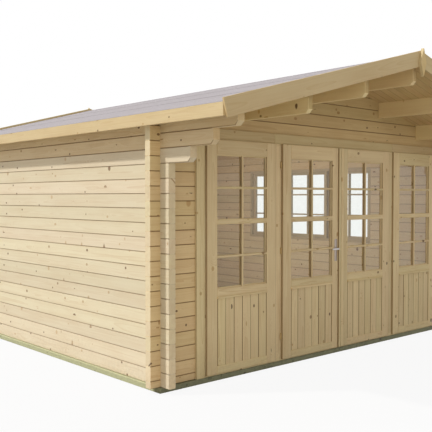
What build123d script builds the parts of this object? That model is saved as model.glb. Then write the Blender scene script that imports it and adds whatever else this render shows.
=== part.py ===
from build123d import *
import os
from math import cos, radians, tan

# Log cabin with a glazed double-door front, a deep front roof overhang and crossed log corners.
# Millimetres. The origin is on the ground under the middle of the roof. X runs to the right
# along the front, Y to the back and Z up, so that the front faces -Y.

# ---------------------------------------------------------------- driving dimensions
# Logs and walls
wall_width = 4500.0          # across the front, outer log face to outer log face
wall_depth = 4500.0          # front to back, outer log face to outer log face
log_height = 120.0
log_thickness = 68.0
log_chamfer = 5.0            # bevel on every long log edge, two of which make the V joint
front_log_reach = 100.0      # ends of the front and back logs past the side walls
side_log_reach = 110.0       # ends of the side logs past the front and back walls
eave_log_height = 88.0       # bevelled top log of a side wall, at its outer face
lower_corbel_reach = 374.0   # the three top side logs carry the overhang, each further out
upper_corbel_reach = 638.0
eave_log_reach = 898.0       # the longest one, which sets the overhang of the roof
corbel_chamfer = 30.0        # cut under the front end of each corbel log

# Base and floor
bearer_height = 45.0
bearer_width = 95.0
bearer_proud = 25.0          # bearers stand out past the log faces
joist_count = 6
joist_width = 45.0
floor_thickness = 26.0
floor_clearance = 4.0        # all round the floor, beside the logs

# Roof
roof_pitch = 15.0            # degrees
eave_log_gap = 32.0          # eave log ends behind the barge boards
back_overhang = 210.0
eave_overhang = 170.0        # side wall face to the outer face of the eave fascia
roof_board_thickness = 19.0
insulation_thickness = 80.0  # wood-fibre boards between the roof boards and the covering
covering_thickness = 4.0
fascia_thickness = 20.0
fascia_height = 97.0
barge_thickness = 20.0
barge_height = 140.0         # square to the slope
barge_lip = 25.0             # barge top above the roof covering, plumb
barge_end_reach = 10.0       # barge end past the eave fascia
finial_thickness = 30.0
finial_width = 92.0
finial_height = 262.0
finial_above_barge = 20.0
purlin_thickness = 48.0
purlin_height = 155.0        # at the middle of its thickness
ridge_purlin_height = 170.0
purlin_end_chamfer = 30.0
purlin_end_gap = 45.0        # purlin ends behind the barge boards

# Door front: a pair of leaves between two fixed glazed panels, all of one size
sash_width = 850.0
sash_height = 2007.0
sash_bottom = 15.0           # above the underside of the logs
meeting_gap = 6.0
mullion_face = 84.0          # post seen between a leaf and a fixed panel
stile_width = 120.0
top_rail = 127.0
middle_rail = 64.0
bottom_rail = 65.0
pane_bottom = 746.0          # lower edge of the glass, above the underside of the logs
ledge_height = 22.0
ledge_proud = 10.0
sash_lip_thickness = 18.0    # front layer, which laps over the frame
sash_lap = 14.0
sash_core_thickness = 28.0
panel_recess = 7.0           # boards below the glass, behind the stiles' faces
sash_clearance = 5.0         # round a leaf that opens
panel_clearance = 1.0        # round a fixed panel
glass_thickness = 4.0
glass_bite = 10.0            # glass held in its rebate on each side
glass_play = 1.0             # round the glass in its rebate
glass_setback = 22.0         # sash front to glass front
astragal_width = 34.0        # cover strip on each leaf's meeting stile
astragal_thickness = 14.0
trim_thickness = 18.0
trim_joint = 1.0             # open joint between two trims
casing_width = 100.0
head_trim_height = 93.0
outer_post_width = 50.0
frame_fit = 2.0              # frame to the sawn log ends
sill_height = 29.0
frame_head_height = 92.0     # above the leaves, up to the first log over the doorway

# Hinges and handle
hinge_radius = 7.0
hinge_pin_radius = 4.0
hinge_running_clearance = 0.05
hinge_gap = 0.3
hinge_half_height = 30.0
lower_hinge_height = 230.0   # above the underside of the logs; a third hinge lies halfway
upper_hinge_drop = 192.0     # below the top of the leaf
handle_inset = 72.0          # lever spindle from the middle of the doorway
lever_height = 1015.0        # above the underside of the logs
plate_width = 40.0
plate_height = 220.0
plate_thickness = 3.0
plate_drop = 15.0            # plate middle below the lever spindle
keyhole_drop = 85.0          # keyhole below the lever spindle
keyhole_radius = 7.0
lever_neck_radius = 8.0
lever_neck_length = 45.0
lever_spindle_radius = 4.5
lever_length = 112.0
lever_depth = 10.0
lever_width = 18.0
lever_clearance = 0.3
spindle_hole_radius = 12.0

# Windows in the right side wall: three fixed sashes in one frame
window_count = 3
window_glass_width = 630.0
window_glass_height = 870.0
window_head_drop = 105.0     # top of the window frame below the eave logs
window_stile = 45.0
window_sash_thickness = 45.0
window_sash_proud = 16.0     # sash in front of the wall face
window_frame_width = 35.0
window_from_front = 1160.0   # front wall face to the window frame
window_casing_width = 85.0

# ---------------------------------------------------------------- derived planes
roof_slope = tan(radians(roof_pitch))
along_slope = cos(radians(roof_pitch))
half_width = wall_width / 2
front_overhang = eave_log_reach + eave_log_gap + barge_thickness
roof_length = wall_depth + front_overhang + back_overhang
front_face = front_overhang - roof_length / 2
back_face = front_face + wall_depth
inner_front = front_face + log_thickness
inner_back = back_face - log_thickness
inner_side = half_width - log_thickness
log_base = bearer_height
sash_base = log_base + sash_bottom
sash_top = sash_base + sash_height
frame_head_base = sash_top - sash_lap
# The walls have the full rows that bring a log joint nearest to the top of the door frame.
doorway_height = frame_head_base + frame_head_height - log_base
side_rows = round(doorway_height / log_height - 0.5)
corbel_base = log_base + (side_rows - 2) * log_height
eave_log_base = log_base + side_rows * log_height
wall_top = eave_log_base + eave_log_height
gable_base = log_base + (side_rows + 0.5) * log_height
front_barge_back = front_face - front_overhang + barge_thickness
back_barge_back = back_face + back_overhang - barge_thickness
eave_face = half_width + eave_overhang
fascia_back = eave_face - fascia_thickness
# Plumb heights of the roof's layers above the underside of its boards.
board_rise = roof_board_thickness / along_slope
insulation_rise = board_rise + insulation_thickness / along_slope
covering_rise = insulation_rise + covering_thickness / along_slope
leaf_edge = meeting_gap / 2 + sash_width
panel_start = leaf_edge + mullion_face
panel_end = panel_start + sash_width
mullion_start = leaf_edge - sash_lap
mullion_end = panel_start + sash_lap
outer_post_start = panel_end - sash_lap
doorway_half = outer_post_start + outer_post_width + frame_fit
trim_face = front_face - trim_thickness
leaf_back = trim_face - sash_clearance
hinge_y = trim_face - hinge_radius - hinge_gap
hinge_x = leaf_edge + hinge_radius + hinge_gap
window_pitch = window_glass_width + 2 * window_stile + window_frame_width
upper_hinge_height = sash_top - upper_hinge_drop - log_base
hinge_heights = (lower_hinge_height, (lower_hinge_height + upper_hinge_height) / 2,
                 upper_hinge_height)
window_start = front_face + window_from_front
window_end = window_start + window_count * window_pitch + window_frame_width
window_top = eave_log_base - window_head_drop
window_bottom = window_top - window_glass_height - 2 * (window_stile + window_frame_width)


def underside(x):
    """Height of the roof boards' underside at x."""
    return wall_top + (half_width - abs(x)) * roof_slope


# ---------------------------------------------------------------- shape helpers
def block(x0, x1, y0, y1, z0, z1):
    """Box between two corners, given in any order."""
    centre = Pos((x0 + x1) / 2, (y0 + y1) / 2, (z0 + z1) / 2)
    return centre * Box(abs(x1 - x0), abs(y1 - y0), abs(z1 - z0))


def prism_along_y(outline, y0, y1):
    """Outline of (x, z) points, run from y0 to y1."""
    face = make_face(Polyline(*[(x, y0, z) for x, z in outline], close=True))
    return extrude(face, amount=y1 - y0, dir=(0, 1, 0))


def prism_along_x(outline, x0, x1):
    """Outline of (y, z) points, run from x0 to x1."""
    face = make_face(Polyline(*[(x0, y, z) for y, z in outline], close=True))
    return extrude(face, amount=x1 - x0, dir=(1, 0, 0))


def rod_along_y(x, z, radius, y0, y1):
    """Round bar along Y."""
    return Pos(x, (y0 + y1) / 2, z) * Rot(90, 0, 0) * Cylinder(radius, abs(y1 - y0))


def mirrored(shape):
    """The same piece on the other side of the ridge line."""
    return mirror(shape, about=Plane.YZ)


def save(name, *pieces):
    """Write one node; several pieces that don't touch share it."""
    shape = pieces[0] if len(pieces) == 1 else Compound(children=list(pieces))
    export_step(shape, f"parts/{name}.step")


def log_outline(inner, outer, edges):
    """Section through stacked logs: bevelled edges make a V at each joint on both faces."""
    side = 1 if outer > inner else -1
    bevel = side * log_chamfer
    rising = []
    falling = []
    for low, high in zip(edges, edges[1:]):
        rising += [(outer - bevel, low), (outer, low + log_chamfer), (outer, high - log_chamfer)]
        falling += [(inner + bevel, low), (inner, low + log_chamfer), (inner, high - log_chamfer)]
    rising.append((outer - bevel, edges[-1]))
    falling.append((inner + bevel, edges[-1]))
    return rising + falling[::-1]


def side_edges(first_row, last_row):
    """Joint heights of the side wall logs."""
    return [log_base + row * log_height for row in range(first_row, last_row + 1)]


def cross_edges(low, high):
    """Joint heights of the front and back logs, which lie half a row lower."""
    rows = int((high - log_base) / log_height) + 1
    halves = [log_base + (row + 0.5) * log_height for row in range(rows)]
    return [low] + [height for height in halves if low < height < high] + [high]


# At each corner the logs pass through one another, notched a quarter deep above and below.
def crossing_cuts(shape, keep_side, column):
    """Cut the notches in a corner column (x0, x1, y0, y1) for the logs of the other wall."""
    x0, x1, y0, y1 = column
    for row in range(side_rows + 1):
        middle = log_base + (row + (0.0 if keep_side else 0.5)) * log_height
        shape -= block(x0, x1, y0, y1, middle - log_height / 4, middle + log_height / 4)
    return shape


left_front_column = (-half_width, -inner_side, front_face, inner_front)
left_back_column = (-half_width, -inner_side, inner_back, back_face)
right_front_column = (inner_side, half_width, front_face, inner_front)
right_back_column = (inner_side, half_width, inner_back, back_face)


# ---------------------------------------------------------------- side walls
def side_logs(edges, front_reach):
    """Left side logs with their ends past the front and back walls."""
    y0 = front_face - front_reach
    y1 = back_face + side_log_reach
    logs = prism_along_y(log_outline(-inner_side, -half_width, edges), y0, y1)
    logs = crossing_cuts(logs, True, left_front_column)
    return crossing_cuts(logs, True, left_back_column)


def corbel_tip_cut(base, front_reach):
    """Wedge off the lower edge of a corbel's front end."""
    y = front_face - front_reach
    wedge = [(y, base), (y + corbel_chamfer, base), (y, base + corbel_chamfer)]
    return prism_along_x(wedge, -half_width, -inner_side)


def eave_log():
    """Left eave log: its top follows the roof."""
    outline = [
        (-half_width + log_chamfer, eave_log_base),
        (-half_width, eave_log_base + log_chamfer),
        (-half_width, wall_top),
        (-inner_side, underside(inner_side)),
        (-inner_side, eave_log_base + log_chamfer),
        (-inner_side - log_chamfer, eave_log_base),
    ]
    log = prism_along_y(outline, front_face - eave_log_reach, back_face + side_log_reach)
    log = crossing_cuts(log, True, left_front_column)
    log = crossing_cuts(log, True, left_back_column)
    return log - corbel_tip_cut(eave_log_base, eave_log_reach)


left_wall = side_logs(side_edges(0, side_rows - 2), side_log_reach)
lower_corbel = side_logs(side_edges(side_rows - 2, side_rows - 1), lower_corbel_reach)
lower_corbel -= corbel_tip_cut(corbel_base, lower_corbel_reach)
upper_corbel = side_logs(side_edges(side_rows - 1, side_rows), upper_corbel_reach)
upper_corbel -= corbel_tip_cut(corbel_base + log_height, upper_corbel_reach)
window_hole = block(inner_side, half_width, window_start, window_end, window_bottom, window_top)


# ---------------------------------------------------------------- front and back walls
def cross_logs(x0, x1, low, high, outer, inner):
    """Front or back logs from x0 to x1 under the roof, their joints half a row below the sides'."""
    logs = prism_along_x(log_outline(inner, outer, cross_edges(low, high)), x0, x1)
    return logs & under_roof(min(outer, inner), max(outer, inner))


def under_roof(y0, y1):
    """Everything below the roof boards between y0 and y1."""
    reach = half_width + front_log_reach
    outline = [(-reach, log_base), (reach, log_base), (reach, underside(reach)),
               (0, underside(0)), (-reach, underside(reach))]
    return prism_along_y(outline, y0, y1)


def purlin_base(x):
    """Height of the underside of the purlin centred at x."""
    return underside(x) - (purlin_height if x else ridge_purlin_height)


def purlin_outline(x):
    """Section of a purlin centred at x, its top following the roof."""
    low, high = x - purlin_thickness / 2, x + purlin_thickness / 2
    base = purlin_base(x)
    outline = [(low, base), (high, base), (high, underside(high))]
    if low < 0 < high:
        outline.append((0, underside(0)))
    return outline + [(low, underside(low))]


# The purlins divide each half of the room into three equal bays.
purlin_step = inner_side / 3
purlin_places = {
    "ridge_purlin": (0.0,),
    "upper_purlins": (-purlin_step, purlin_step),
    "lower_purlins": (-2 * purlin_step, 2 * purlin_step),
}


def gable(outer, inner):
    """Logs between the eave logs, from the doorway's head to the roof, pierced by the purlins."""
    logs = cross_logs(-inner_side, inner_side, gable_base, underside(0), outer, inner)
    for places in purlin_places.values():
        for x in places:
            logs -= prism_along_y(purlin_outline(x), min(outer, inner), max(outer, inner))
    return logs


def stub_logs():
    """Front logs between the left corner and the doorway."""
    logs = cross_logs(-half_width - front_log_reach, -doorway_half, log_base, gable_base,
                      front_face, inner_front)
    return crossing_cuts(logs, False, left_front_column)


back_logs = cross_logs(-half_width - front_log_reach, half_width + front_log_reach, log_base,
                       gable_base, back_face, inner_back)
back_logs = crossing_cuts(back_logs, False, left_back_column)
back_logs = crossing_cuts(back_logs, False, right_back_column)


# ---------------------------------------------------------------- base and floor
bearer_out_x = half_width + bearer_proud
bearer_front = front_face - bearer_proud
bearer_back = back_face + bearer_proud


def long_bearer(x0, x1):
    """Bearer or joist along Y, between the front and back bearers."""
    return block(x0, x1, bearer_front + bearer_width, bearer_back - bearer_width, 0, bearer_height)


def joists():
    """Joists evenly spaced between the side bearers."""
    inner = bearer_out_x - bearer_width
    step = 2 * inner / (joist_count + 1)
    places = [-inner + step * (index + 1) for index in range(joist_count)]
    return [long_bearer(x - joist_width / 2, x + joist_width / 2) for x in places]


floor = block(-inner_side + floor_clearance, inner_side - floor_clearance,
              inner_front + floor_clearance, inner_back - floor_clearance,
              log_base, log_base + floor_thickness)


# ---------------------------------------------------------------- roof
def roof_band(x0, x1, low, high):
    """Left roof layer between x0 and x1, from low to high above the boards' underside."""
    outline = [(x0, underside(x0) + low), (x1, underside(x1) + low),
               (x1, underside(x1) + high), (x0, underside(x0) + high)]
    return prism_along_y(outline, front_barge_back, back_barge_back)


def barge_board(y0, y1):
    """Left barge board, its outer end cut square to the slope."""
    top = covering_rise + barge_lip
    drop = barge_height / along_slope
    end_x = -(eave_face + barge_end_reach)
    shift = barge_height * roof_slope * along_slope
    foot_x = end_x + shift
    outline = [(0, underside(0) + top), (end_x, underside(end_x) + top),
               (foot_x, underside(foot_x) + top - drop), (0, underside(0) + top - drop)]
    return prism_along_y(outline, y0, y1)


def finial(y0, y1):
    """Upright lozenge over the joint of two barge boards."""
    tip = underside(0) + covering_rise + barge_lip + finial_above_barge
    waist = tip - finial_height / 2
    half = finial_width / 2
    outline = [(0, tip), (-half, waist), (0, tip - finial_height), (half, waist)]
    return prism_along_y(outline, y0, y1)


def purlin(x):
    """Purlin over the length of the roof, its front end bevelled underneath."""
    y0 = front_barge_back + purlin_end_gap
    y1 = back_barge_back - purlin_end_gap
    base = purlin_base(x)
    wedge = [(y0, base), (y0 + purlin_end_chamfer, base), (y0, base + purlin_end_chamfer)]
    low, high = x - purlin_thickness / 2, x + purlin_thickness / 2
    return prism_along_y(purlin_outline(x), y0, y1) - prism_along_x(wedge, low, high)


fascia_top = underside(eave_face) + insulation_rise
eave_fascia = prism_along_y(
    [(-eave_face, fascia_top),
     (-fascia_back, underside(fascia_back) + insulation_rise),
     (-fascia_back, fascia_top - fascia_height),
     (-eave_face, fascia_top - fascia_height)],
    front_barge_back, back_barge_back)


# ---------------------------------------------------------------- door front
def sash(x0, x1, back, clearance, lap_left, lap_right):
    """Glazed sash: a front lip over the frame, a core between the posts, boards below the glass."""
    front = back - sash_lip_thickness
    core_back = back + sash_core_thickness
    core_x0 = x0 + (sash_lap + clearance if lap_left else 0)
    core_x1 = x1 - (sash_lap + clearance if lap_right else 0)
    body = block(x0, x1, front, back, sash_base, sash_top)
    body += block(core_x0, core_x1, back, core_back,
                  log_base + sill_height + clearance, frame_head_base - clearance)
    pane_x0, pane_x1 = x0 + stile_width, x1 - stile_width
    pane_low, pane_high = log_base + pane_bottom, sash_top - top_rail
    body -= block(pane_x0, pane_x1, front, core_back, pane_low, pane_high)
    body -= block(pane_x0 - glass_bite, pane_x1 + glass_bite, front + glass_setback, core_back,
                  pane_low - glass_bite, pane_high + glass_bite)
    ledge_top = pane_low - middle_rail
    body -= block(pane_x0, pane_x1, front, front + panel_recess,
                  sash_base + bottom_rail, ledge_top - ledge_height)
    ledge = [(front, ledge_top), (front - ledge_proud, ledge_top - ledge_height / 2),
             (front - ledge_proud, ledge_top - ledge_height),
             (front, ledge_top - ledge_height)]
    return body + prism_along_x(ledge, pane_x0, pane_x1)


def sash_glass(x0, x1, back):
    """Pane held in the sash's rebate."""
    front = back - sash_lip_thickness + glass_setback
    reach = glass_bite - glass_play
    return block(x0 + stile_width - reach, x1 - stile_width + reach,
                 front, front + glass_thickness,
                 log_base + pane_bottom - reach, sash_top - top_rail + reach)


def astragal(x0, x1):
    """Cover strip on a leaf's meeting stile."""
    front = leaf_back - sash_lip_thickness
    return block(x0, x1, front - astragal_thickness, front, sash_base, sash_top)


def left_leaf():
    """Opening leaf with the handle: bored for the lever spindle and the lock."""
    leaf = sash(-leaf_edge, -meeting_gap / 2, leaf_back, sash_clearance, True, False)
    leaf += astragal(-meeting_gap / 2 - astragal_width, -meeting_gap / 2)
    front, rear = leaf_back - sash_lip_thickness, leaf_back + sash_core_thickness
    spindle_z = log_base + lever_height
    leaf -= rod_along_y(-handle_inset, spindle_z, spindle_hole_radius, front, rear)
    return leaf - rod_along_y(-handle_inset, spindle_z - keyhole_drop, keyhole_radius, front, rear)


def handle_plate(y0, y1):
    """Long plate with the lever's bearing and the keyhole."""
    spindle_z = log_base + lever_height
    middle = spindle_z - plate_drop
    plate = block(-handle_inset - plate_width / 2, -handle_inset + plate_width / 2, y0, y1,
                  middle - plate_height / 2, middle + plate_height / 2)
    plate -= rod_along_y(-handle_inset, spindle_z, lever_neck_radius + lever_clearance, y0, y1)
    return plate - rod_along_y(-handle_inset, spindle_z - keyhole_drop, keyhole_radius, y0, y1)


def lever():
    """Lever handles inside and outside on one spindle, pointing towards the hinges."""
    leaf_front = leaf_back - sash_lip_thickness
    leaf_rear = leaf_back + sash_core_thickness
    spindle_z = log_base + lever_height
    outer_end = leaf_front - plate_thickness - lever_neck_length
    inner_end = leaf_rear + plate_thickness + lever_neck_length
    shape = rod_along_y(-handle_inset, spindle_z, lever_spindle_radius, outer_end, inner_end)
    shape += rod_along_y(-handle_inset, spindle_z, lever_neck_radius, outer_end, leaf_front)
    shape += rod_along_y(-handle_inset, spindle_z, lever_neck_radius, leaf_rear, inner_end)
    half = lever_width / 2
    for end, run in ((outer_end, -lever_depth), (inner_end, lever_depth)):
        y0, y1 = min(end, end + run), max(end, end + run)
        shape += block(-handle_inset - lever_length + half, -handle_inset, y0, y1,
                       spindle_z - half, spindle_z + half)
        for x in (-handle_inset, -handle_inset - lever_length + half):
            shape += rod_along_y(x, spindle_z, half, y0, y1)
    return shape


def hinge_halves():
    """Left hinges: pinned lower halves for the frame, bored upper halves for the leaf."""
    lower = []
    upper = []
    for height in hinge_heights:
        base = log_base + height
        seat = Pos(-hinge_x, hinge_y, base - hinge_half_height / 2)
        half = seat * Cylinder(hinge_radius, hinge_half_height)
        pin_foot = Pos(-hinge_x, hinge_y, base + hinge_half_height / 2)
        lower.append(half + pin_foot * Cylinder(hinge_pin_radius, hinge_half_height))
        sleeve_place = Pos(-hinge_x, hinge_y, base + hinge_gap + hinge_half_height / 2)
        sleeve = sleeve_place * Cylinder(hinge_radius, hinge_half_height)
        bore = sleeve_place * Cylinder(hinge_pin_radius + hinge_running_clearance,
                                       hinge_half_height)
        upper.append(sleeve - bore)
    return lower, upper


def outer_post():
    """Left outer frame post, rebated for the casing."""
    post = block(-outer_post_start - outer_post_width, -outer_post_start, front_face, inner_front,
                 log_base + sill_height, frame_head_base)
    nose = block(-panel_end, -outer_post_start, trim_face, front_face,
                 log_base + sill_height, frame_head_base)
    return post + nose


def mullion():
    """Left post between the fixed panel and the leaf."""
    return block(-mullion_end, -mullion_start, trim_face, inner_front,
                 log_base + sill_height, frame_head_base)


frame_end = outer_post_start + outer_post_width
frame_sill = block(-frame_end, frame_end, front_face, inner_front, log_base, log_base + sill_height)
frame_sill += block(-panel_end, panel_end, trim_face, front_face, log_base, log_base + sill_height)
frame_head = block(-frame_end, frame_end, front_face, inner_front, frame_head_base, gable_base)
frame_head += block(-panel_end, panel_end, trim_face, front_face, frame_head_base, sash_top)
casing_end = panel_end + trim_joint + casing_width
head_trim_top = sash_top + trim_joint + head_trim_height
side_casing = block(-casing_end, -panel_end - trim_joint, trim_face, front_face,
                    log_base, sash_top)


def head_trim(x0, x1):
    """Flat trim over a panel or over the doors."""
    return block(x0, x1, trim_face, front_face, sash_top + trim_joint, head_trim_top)


head_trims = (
    head_trim(-casing_end, -panel_start - trim_joint),
    head_trim(-panel_start + trim_joint, panel_start - trim_joint),
    head_trim(panel_start + trim_joint, casing_end),
)

# ---------------------------------------------------------------- windows in the right wall
window_outer = half_width + window_sash_proud
window_inner = window_outer - window_sash_thickness


def window_cell(index):
    """Start and end along Y of one sash."""
    start = window_start + window_frame_width + index * window_pitch
    return start, start + window_glass_width + 2 * window_stile


def window_frame():
    """Outer frame with posts between the sashes."""
    frame = block(inner_side, half_width, window_start + frame_fit, window_end - frame_fit,
                  window_bottom + frame_fit, window_top - frame_fit)
    for index in range(window_count):
        y0, y1 = window_cell(index)
        frame -= block(inner_side, half_width, y0, y1,
                       window_bottom + window_frame_width, window_top - window_frame_width)
    return frame


def window_sash(index):
    """One glazed sash, rebated for its pane."""
    y0, y1 = window_cell(index)
    low, high = window_bottom + window_frame_width, window_top - window_frame_width
    frame = block(window_inner, window_outer, y0, y1, low, high)
    frame -= block(window_inner, window_outer, y0 + window_stile, y1 - window_stile,
                   low + window_stile, high - window_stile)
    return frame - block(window_inner, window_outer - glass_setback,
                         y0 + window_stile - glass_bite, y1 - window_stile + glass_bite,
                         low + window_stile - glass_bite, high - window_stile + glass_bite)


def window_pane(index):
    """Glass of one sash."""
    y0, y1 = window_cell(index)
    reach = window_stile - glass_bite + glass_play
    outer = window_outer - glass_setback
    return block(outer - glass_thickness, outer, y0 + reach, y1 - reach,
                 window_bottom + window_frame_width + reach,
                 window_top - window_frame_width - reach)


def window_casing():
    """Flat trim round the window, outside."""
    outer = half_width + trim_thickness
    lap = window_frame_width / 2
    trim = block(half_width, outer, window_start + lap - window_casing_width,
                 window_end - lap + window_casing_width,
                 window_bottom + lap - window_casing_width,
                 window_top - lap + window_casing_width)
    return trim - block(half_width, outer, window_start + lap, window_end - lap,
                        window_bottom + lap, window_top - lap)


# ---------------------------------------------------------------- one file per node
os.makedirs("parts", exist_ok=True)

save("cross_bearers",
     block(-bearer_out_x, bearer_out_x, bearer_front, bearer_front + bearer_width,
           0, bearer_height),
     block(-bearer_out_x, bearer_out_x, bearer_back - bearer_width, bearer_back,
           0, bearer_height))
save("side_bearers", long_bearer(-bearer_out_x, -bearer_out_x + bearer_width),
     long_bearer(bearer_out_x - bearer_width, bearer_out_x))
save("floor_joists", *joists())
save("floor", floor)

save("left_wall", left_wall)
save("right_wall", mirrored(left_wall) - window_hole)
for name, log in (("lower_corbel_logs", lower_corbel), ("upper_corbel_logs", upper_corbel),
                  ("eave_logs", eave_log())):
    save(name, log, *(mirrored(log) - window_hole).solids())

save("front_wall_ends", stub_logs(), mirrored(stub_logs()))
save("front_gable", gable(front_face, inner_front))
save("back_wall", back_logs)
save("back_gable", gable(back_face, inner_back))

for name, places in purlin_places.items():
    save(name, *[purlin(x) for x in places])
roof_boards = roof_band(-fascia_back, 0, 0, board_rise)
save("left_roof_boards", roof_boards)
save("right_roof_boards", mirrored(roof_boards))
insulation = roof_band(-fascia_back, 0, board_rise, insulation_rise)
save("roof_insulation", insulation, mirrored(insulation))
covering = roof_band(-eave_face, 0, insulation_rise, covering_rise)
save("left_roof_covering", covering)
save("right_roof_covering", mirrored(covering))
save("eave_fascias", eave_fascia, mirrored(eave_fascia))
front_barge = barge_board(front_barge_back - barge_thickness, front_barge_back)
save("front_left_barge_board", front_barge)
save("front_right_barge_board", mirrored(front_barge))
back_barge = barge_board(back_barge_back, back_barge_back + barge_thickness)
save("back_left_barge_board", back_barge)
save("back_right_barge_board", mirrored(back_barge))
save("finials",
     finial(front_barge_back - barge_thickness - finial_thickness,
            front_barge_back - barge_thickness),
     finial(back_barge_back + barge_thickness,
            back_barge_back + barge_thickness + finial_thickness))

save("door_frame_sill", frame_sill)
save("door_frame_head", frame_head)
save("door_frame_posts", outer_post(), mullion(), mirrored(mullion()), mirrored(outer_post()))
save("door_side_casings", side_casing, mirrored(side_casing))
save("door_head_trims", *head_trims)
fixed_panel = sash(-panel_end, -panel_start, trim_face, panel_clearance, True, True)
fixed_pane = sash_glass(-panel_end, -panel_start, trim_face)
save("side_panels", fixed_panel, mirrored(fixed_panel))
save("side_panel_glass", fixed_pane, mirrored(fixed_pane))
save("left_door_leaf", left_leaf())
right_leaf = sash(meeting_gap / 2, leaf_edge, leaf_back, sash_clearance, False, True)
save("right_door_leaf",
     right_leaf + astragal(meeting_gap / 2, meeting_gap / 2 + astragal_width))
leaf_pane = sash_glass(-leaf_edge, -meeting_gap / 2, leaf_back)
save("left_door_glass", leaf_pane)
save("right_door_glass", mirrored(leaf_pane))
frame_hinges, leaf_hinges = hinge_halves()
save("frame_hinge_pins", *frame_hinges, *[mirrored(half) for half in frame_hinges])
save("left_leaf_hinges", *leaf_hinges)
save("right_leaf_hinges", *[mirrored(half) for half in leaf_hinges])
leaf_front = leaf_back - sash_lip_thickness
leaf_rear = leaf_back + sash_core_thickness
save("handle_plates", handle_plate(leaf_front - plate_thickness, leaf_front),
     handle_plate(leaf_rear, leaf_rear + plate_thickness))
save("lever_handle", lever())

save("window_frame", window_frame())
save("window_sashes", *[window_sash(index) for index in range(window_count)])
save("window_glass", *[window_pane(index) for index in range(window_count)])
save("window_casing", window_casing())
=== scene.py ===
"""Looks of a log cabin with a glazed double-door front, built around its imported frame.

Each timber is a closed solid of its own with its own grain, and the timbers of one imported
node share a mesh. Lengths are in metres. X runs to the right along the front, Y to the back
and Z up.
"""

import logging
import math
from collections.abc import Callable, Sequence
from dataclasses import dataclass, field, replace
from enum import Enum
from random import Random

import bmesh
import bpy
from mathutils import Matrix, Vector


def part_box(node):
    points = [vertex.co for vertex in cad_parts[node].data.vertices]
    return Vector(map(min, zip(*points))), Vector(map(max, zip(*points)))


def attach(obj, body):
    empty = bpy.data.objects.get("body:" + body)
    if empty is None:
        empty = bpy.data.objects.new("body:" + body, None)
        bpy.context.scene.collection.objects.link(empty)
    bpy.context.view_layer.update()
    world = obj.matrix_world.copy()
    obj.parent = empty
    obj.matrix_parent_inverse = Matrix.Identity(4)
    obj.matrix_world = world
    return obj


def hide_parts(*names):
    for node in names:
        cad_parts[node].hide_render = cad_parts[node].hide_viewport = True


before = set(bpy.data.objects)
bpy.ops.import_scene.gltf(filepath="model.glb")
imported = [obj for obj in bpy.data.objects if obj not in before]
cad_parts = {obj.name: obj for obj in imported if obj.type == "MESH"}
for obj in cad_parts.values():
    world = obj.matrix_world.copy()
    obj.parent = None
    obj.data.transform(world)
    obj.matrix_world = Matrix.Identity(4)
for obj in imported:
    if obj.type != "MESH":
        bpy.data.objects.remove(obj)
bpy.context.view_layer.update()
log = logging.getLogger("cabin")

Triple = tuple[float, float, float]
Pair = tuple[float, float]
Section = list[Pair]
Ring = list[Vector]
Place = float | Callable[[float], float]
Socket = bpy.types.NodeSocket

X_AXIS = Vector((1.0, 0.0, 0.0))
Y_AXIS = Vector((0.0, 1.0, 0.0))
Z_AXIS = Vector((0.0, 0.0, 1.0))

PITCH = math.radians(15.0)
SLOPE = math.tan(PITCH)
COSINE = math.cos(PITCH)
SINE = math.sin(PITCH)
FIT = 0.002  # room round a frame in its opening


class Part(Enum):
    """What a face of a timber is: its shares of end grain, painted groove shade and eased edge."""

    FACE = (0.0, 0.0, 0.0)
    END = (1.0, 0.0, 0.0)
    # BEVEL and SLIT faces get painted shade: a darker brown for joints, grooves and gaps.
    BEVEL = (0.0, 0.7, 0.0)
    SLIT = (0.0, 1.0, 0.0)
    ARRIS = (0.0, 0.0, 1.0)


class Slot(Enum):
    """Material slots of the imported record."""

    LOGS = "spruce_logs"
    JOINERY = "planed_spruce"
    BOARDS = "spruce_boards"
    FIBRE = "wood_fibre"
    TREATED = "treated_timber"
    FELT = "roof_felt"
    GLASS = "clear_glass"
    STEEL = "satin_steel"


class Heart(Enum):
    """How a timber was sawn: the depths at which its pith may lie behind its middle."""

    NEAR = (0.045, 0.085)
    FAR = (0.07, 0.15)


class Kind(Enum):
    """Sockets of a shader node group."""

    COLOUR = "NodeSocketColor"
    NUMBER = "NodeSocketFloat"


def linear(*levels: int) -> Triple:
    """Linear colour of a display colour's red, green and blue on a scale of 255."""
    shares = (level / 255.0 for level in levels)
    return tuple(s / 12.92 if s <= 0.04045 else ((s + 0.055) / 1.055) ** 2.4 for s in shares)


def placed(name: str, data: bpy.types.ID) -> bpy.types.Object:
    """Put an object in the scene.

    Args:
        name: Its name.
        data: Its mesh, light or camera.

    Returns:
        The object.
    """
    made = bpy.data.objects.new(name, data)
    bpy.context.scene.collection.objects.link(made)
    return made


# ---------- sections and timbers
def eased(corners: Section, ease: float) -> Section:
    """Section with every corner cut off.

    Args:
        corners: The sharp section's corners in order.
        ease: Length taken off each edge at a corner.

    Returns:
        Two points for each corner, so that every second side is an eased edge.
    """
    cut: Section = []
    for index, corner in enumerate(corners):
        here = Vector(corner)
        for other in (corners[index - 1], corners[(index + 1) % len(corners)]):
            step = Vector(other) - here
            cut.append(tuple(here + step.normalized() * min(ease, step.length * 0.45)))
    return cut


def eased_box(width: Pair, depth: Pair, ease: float) -> Section:
    """Rectangle between two widths and two depths, with its corners cut off."""
    return eased([(width[0], depth[0]), (width[1], depth[0]), (width[1], depth[1]),
                  (width[0], depth[1])], ease)


def shrunk(section: Section, margin: float) -> Section:
    """Section drawn in by a margin on each side of its box.

    Args:
        section: The section.
        margin: How far each side of its box moves in.

    Returns:
        As many points.
    """
    drawn: list[list[float]] = []
    for places in zip(*section):
        low, size = min(places), max(places) - min(places)
        share = (size - 2 * margin) / max(size, 1e-6)
        drawn.append([low + margin + (place - low) * share for place in places])
    return list(zip(*drawn))


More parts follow.
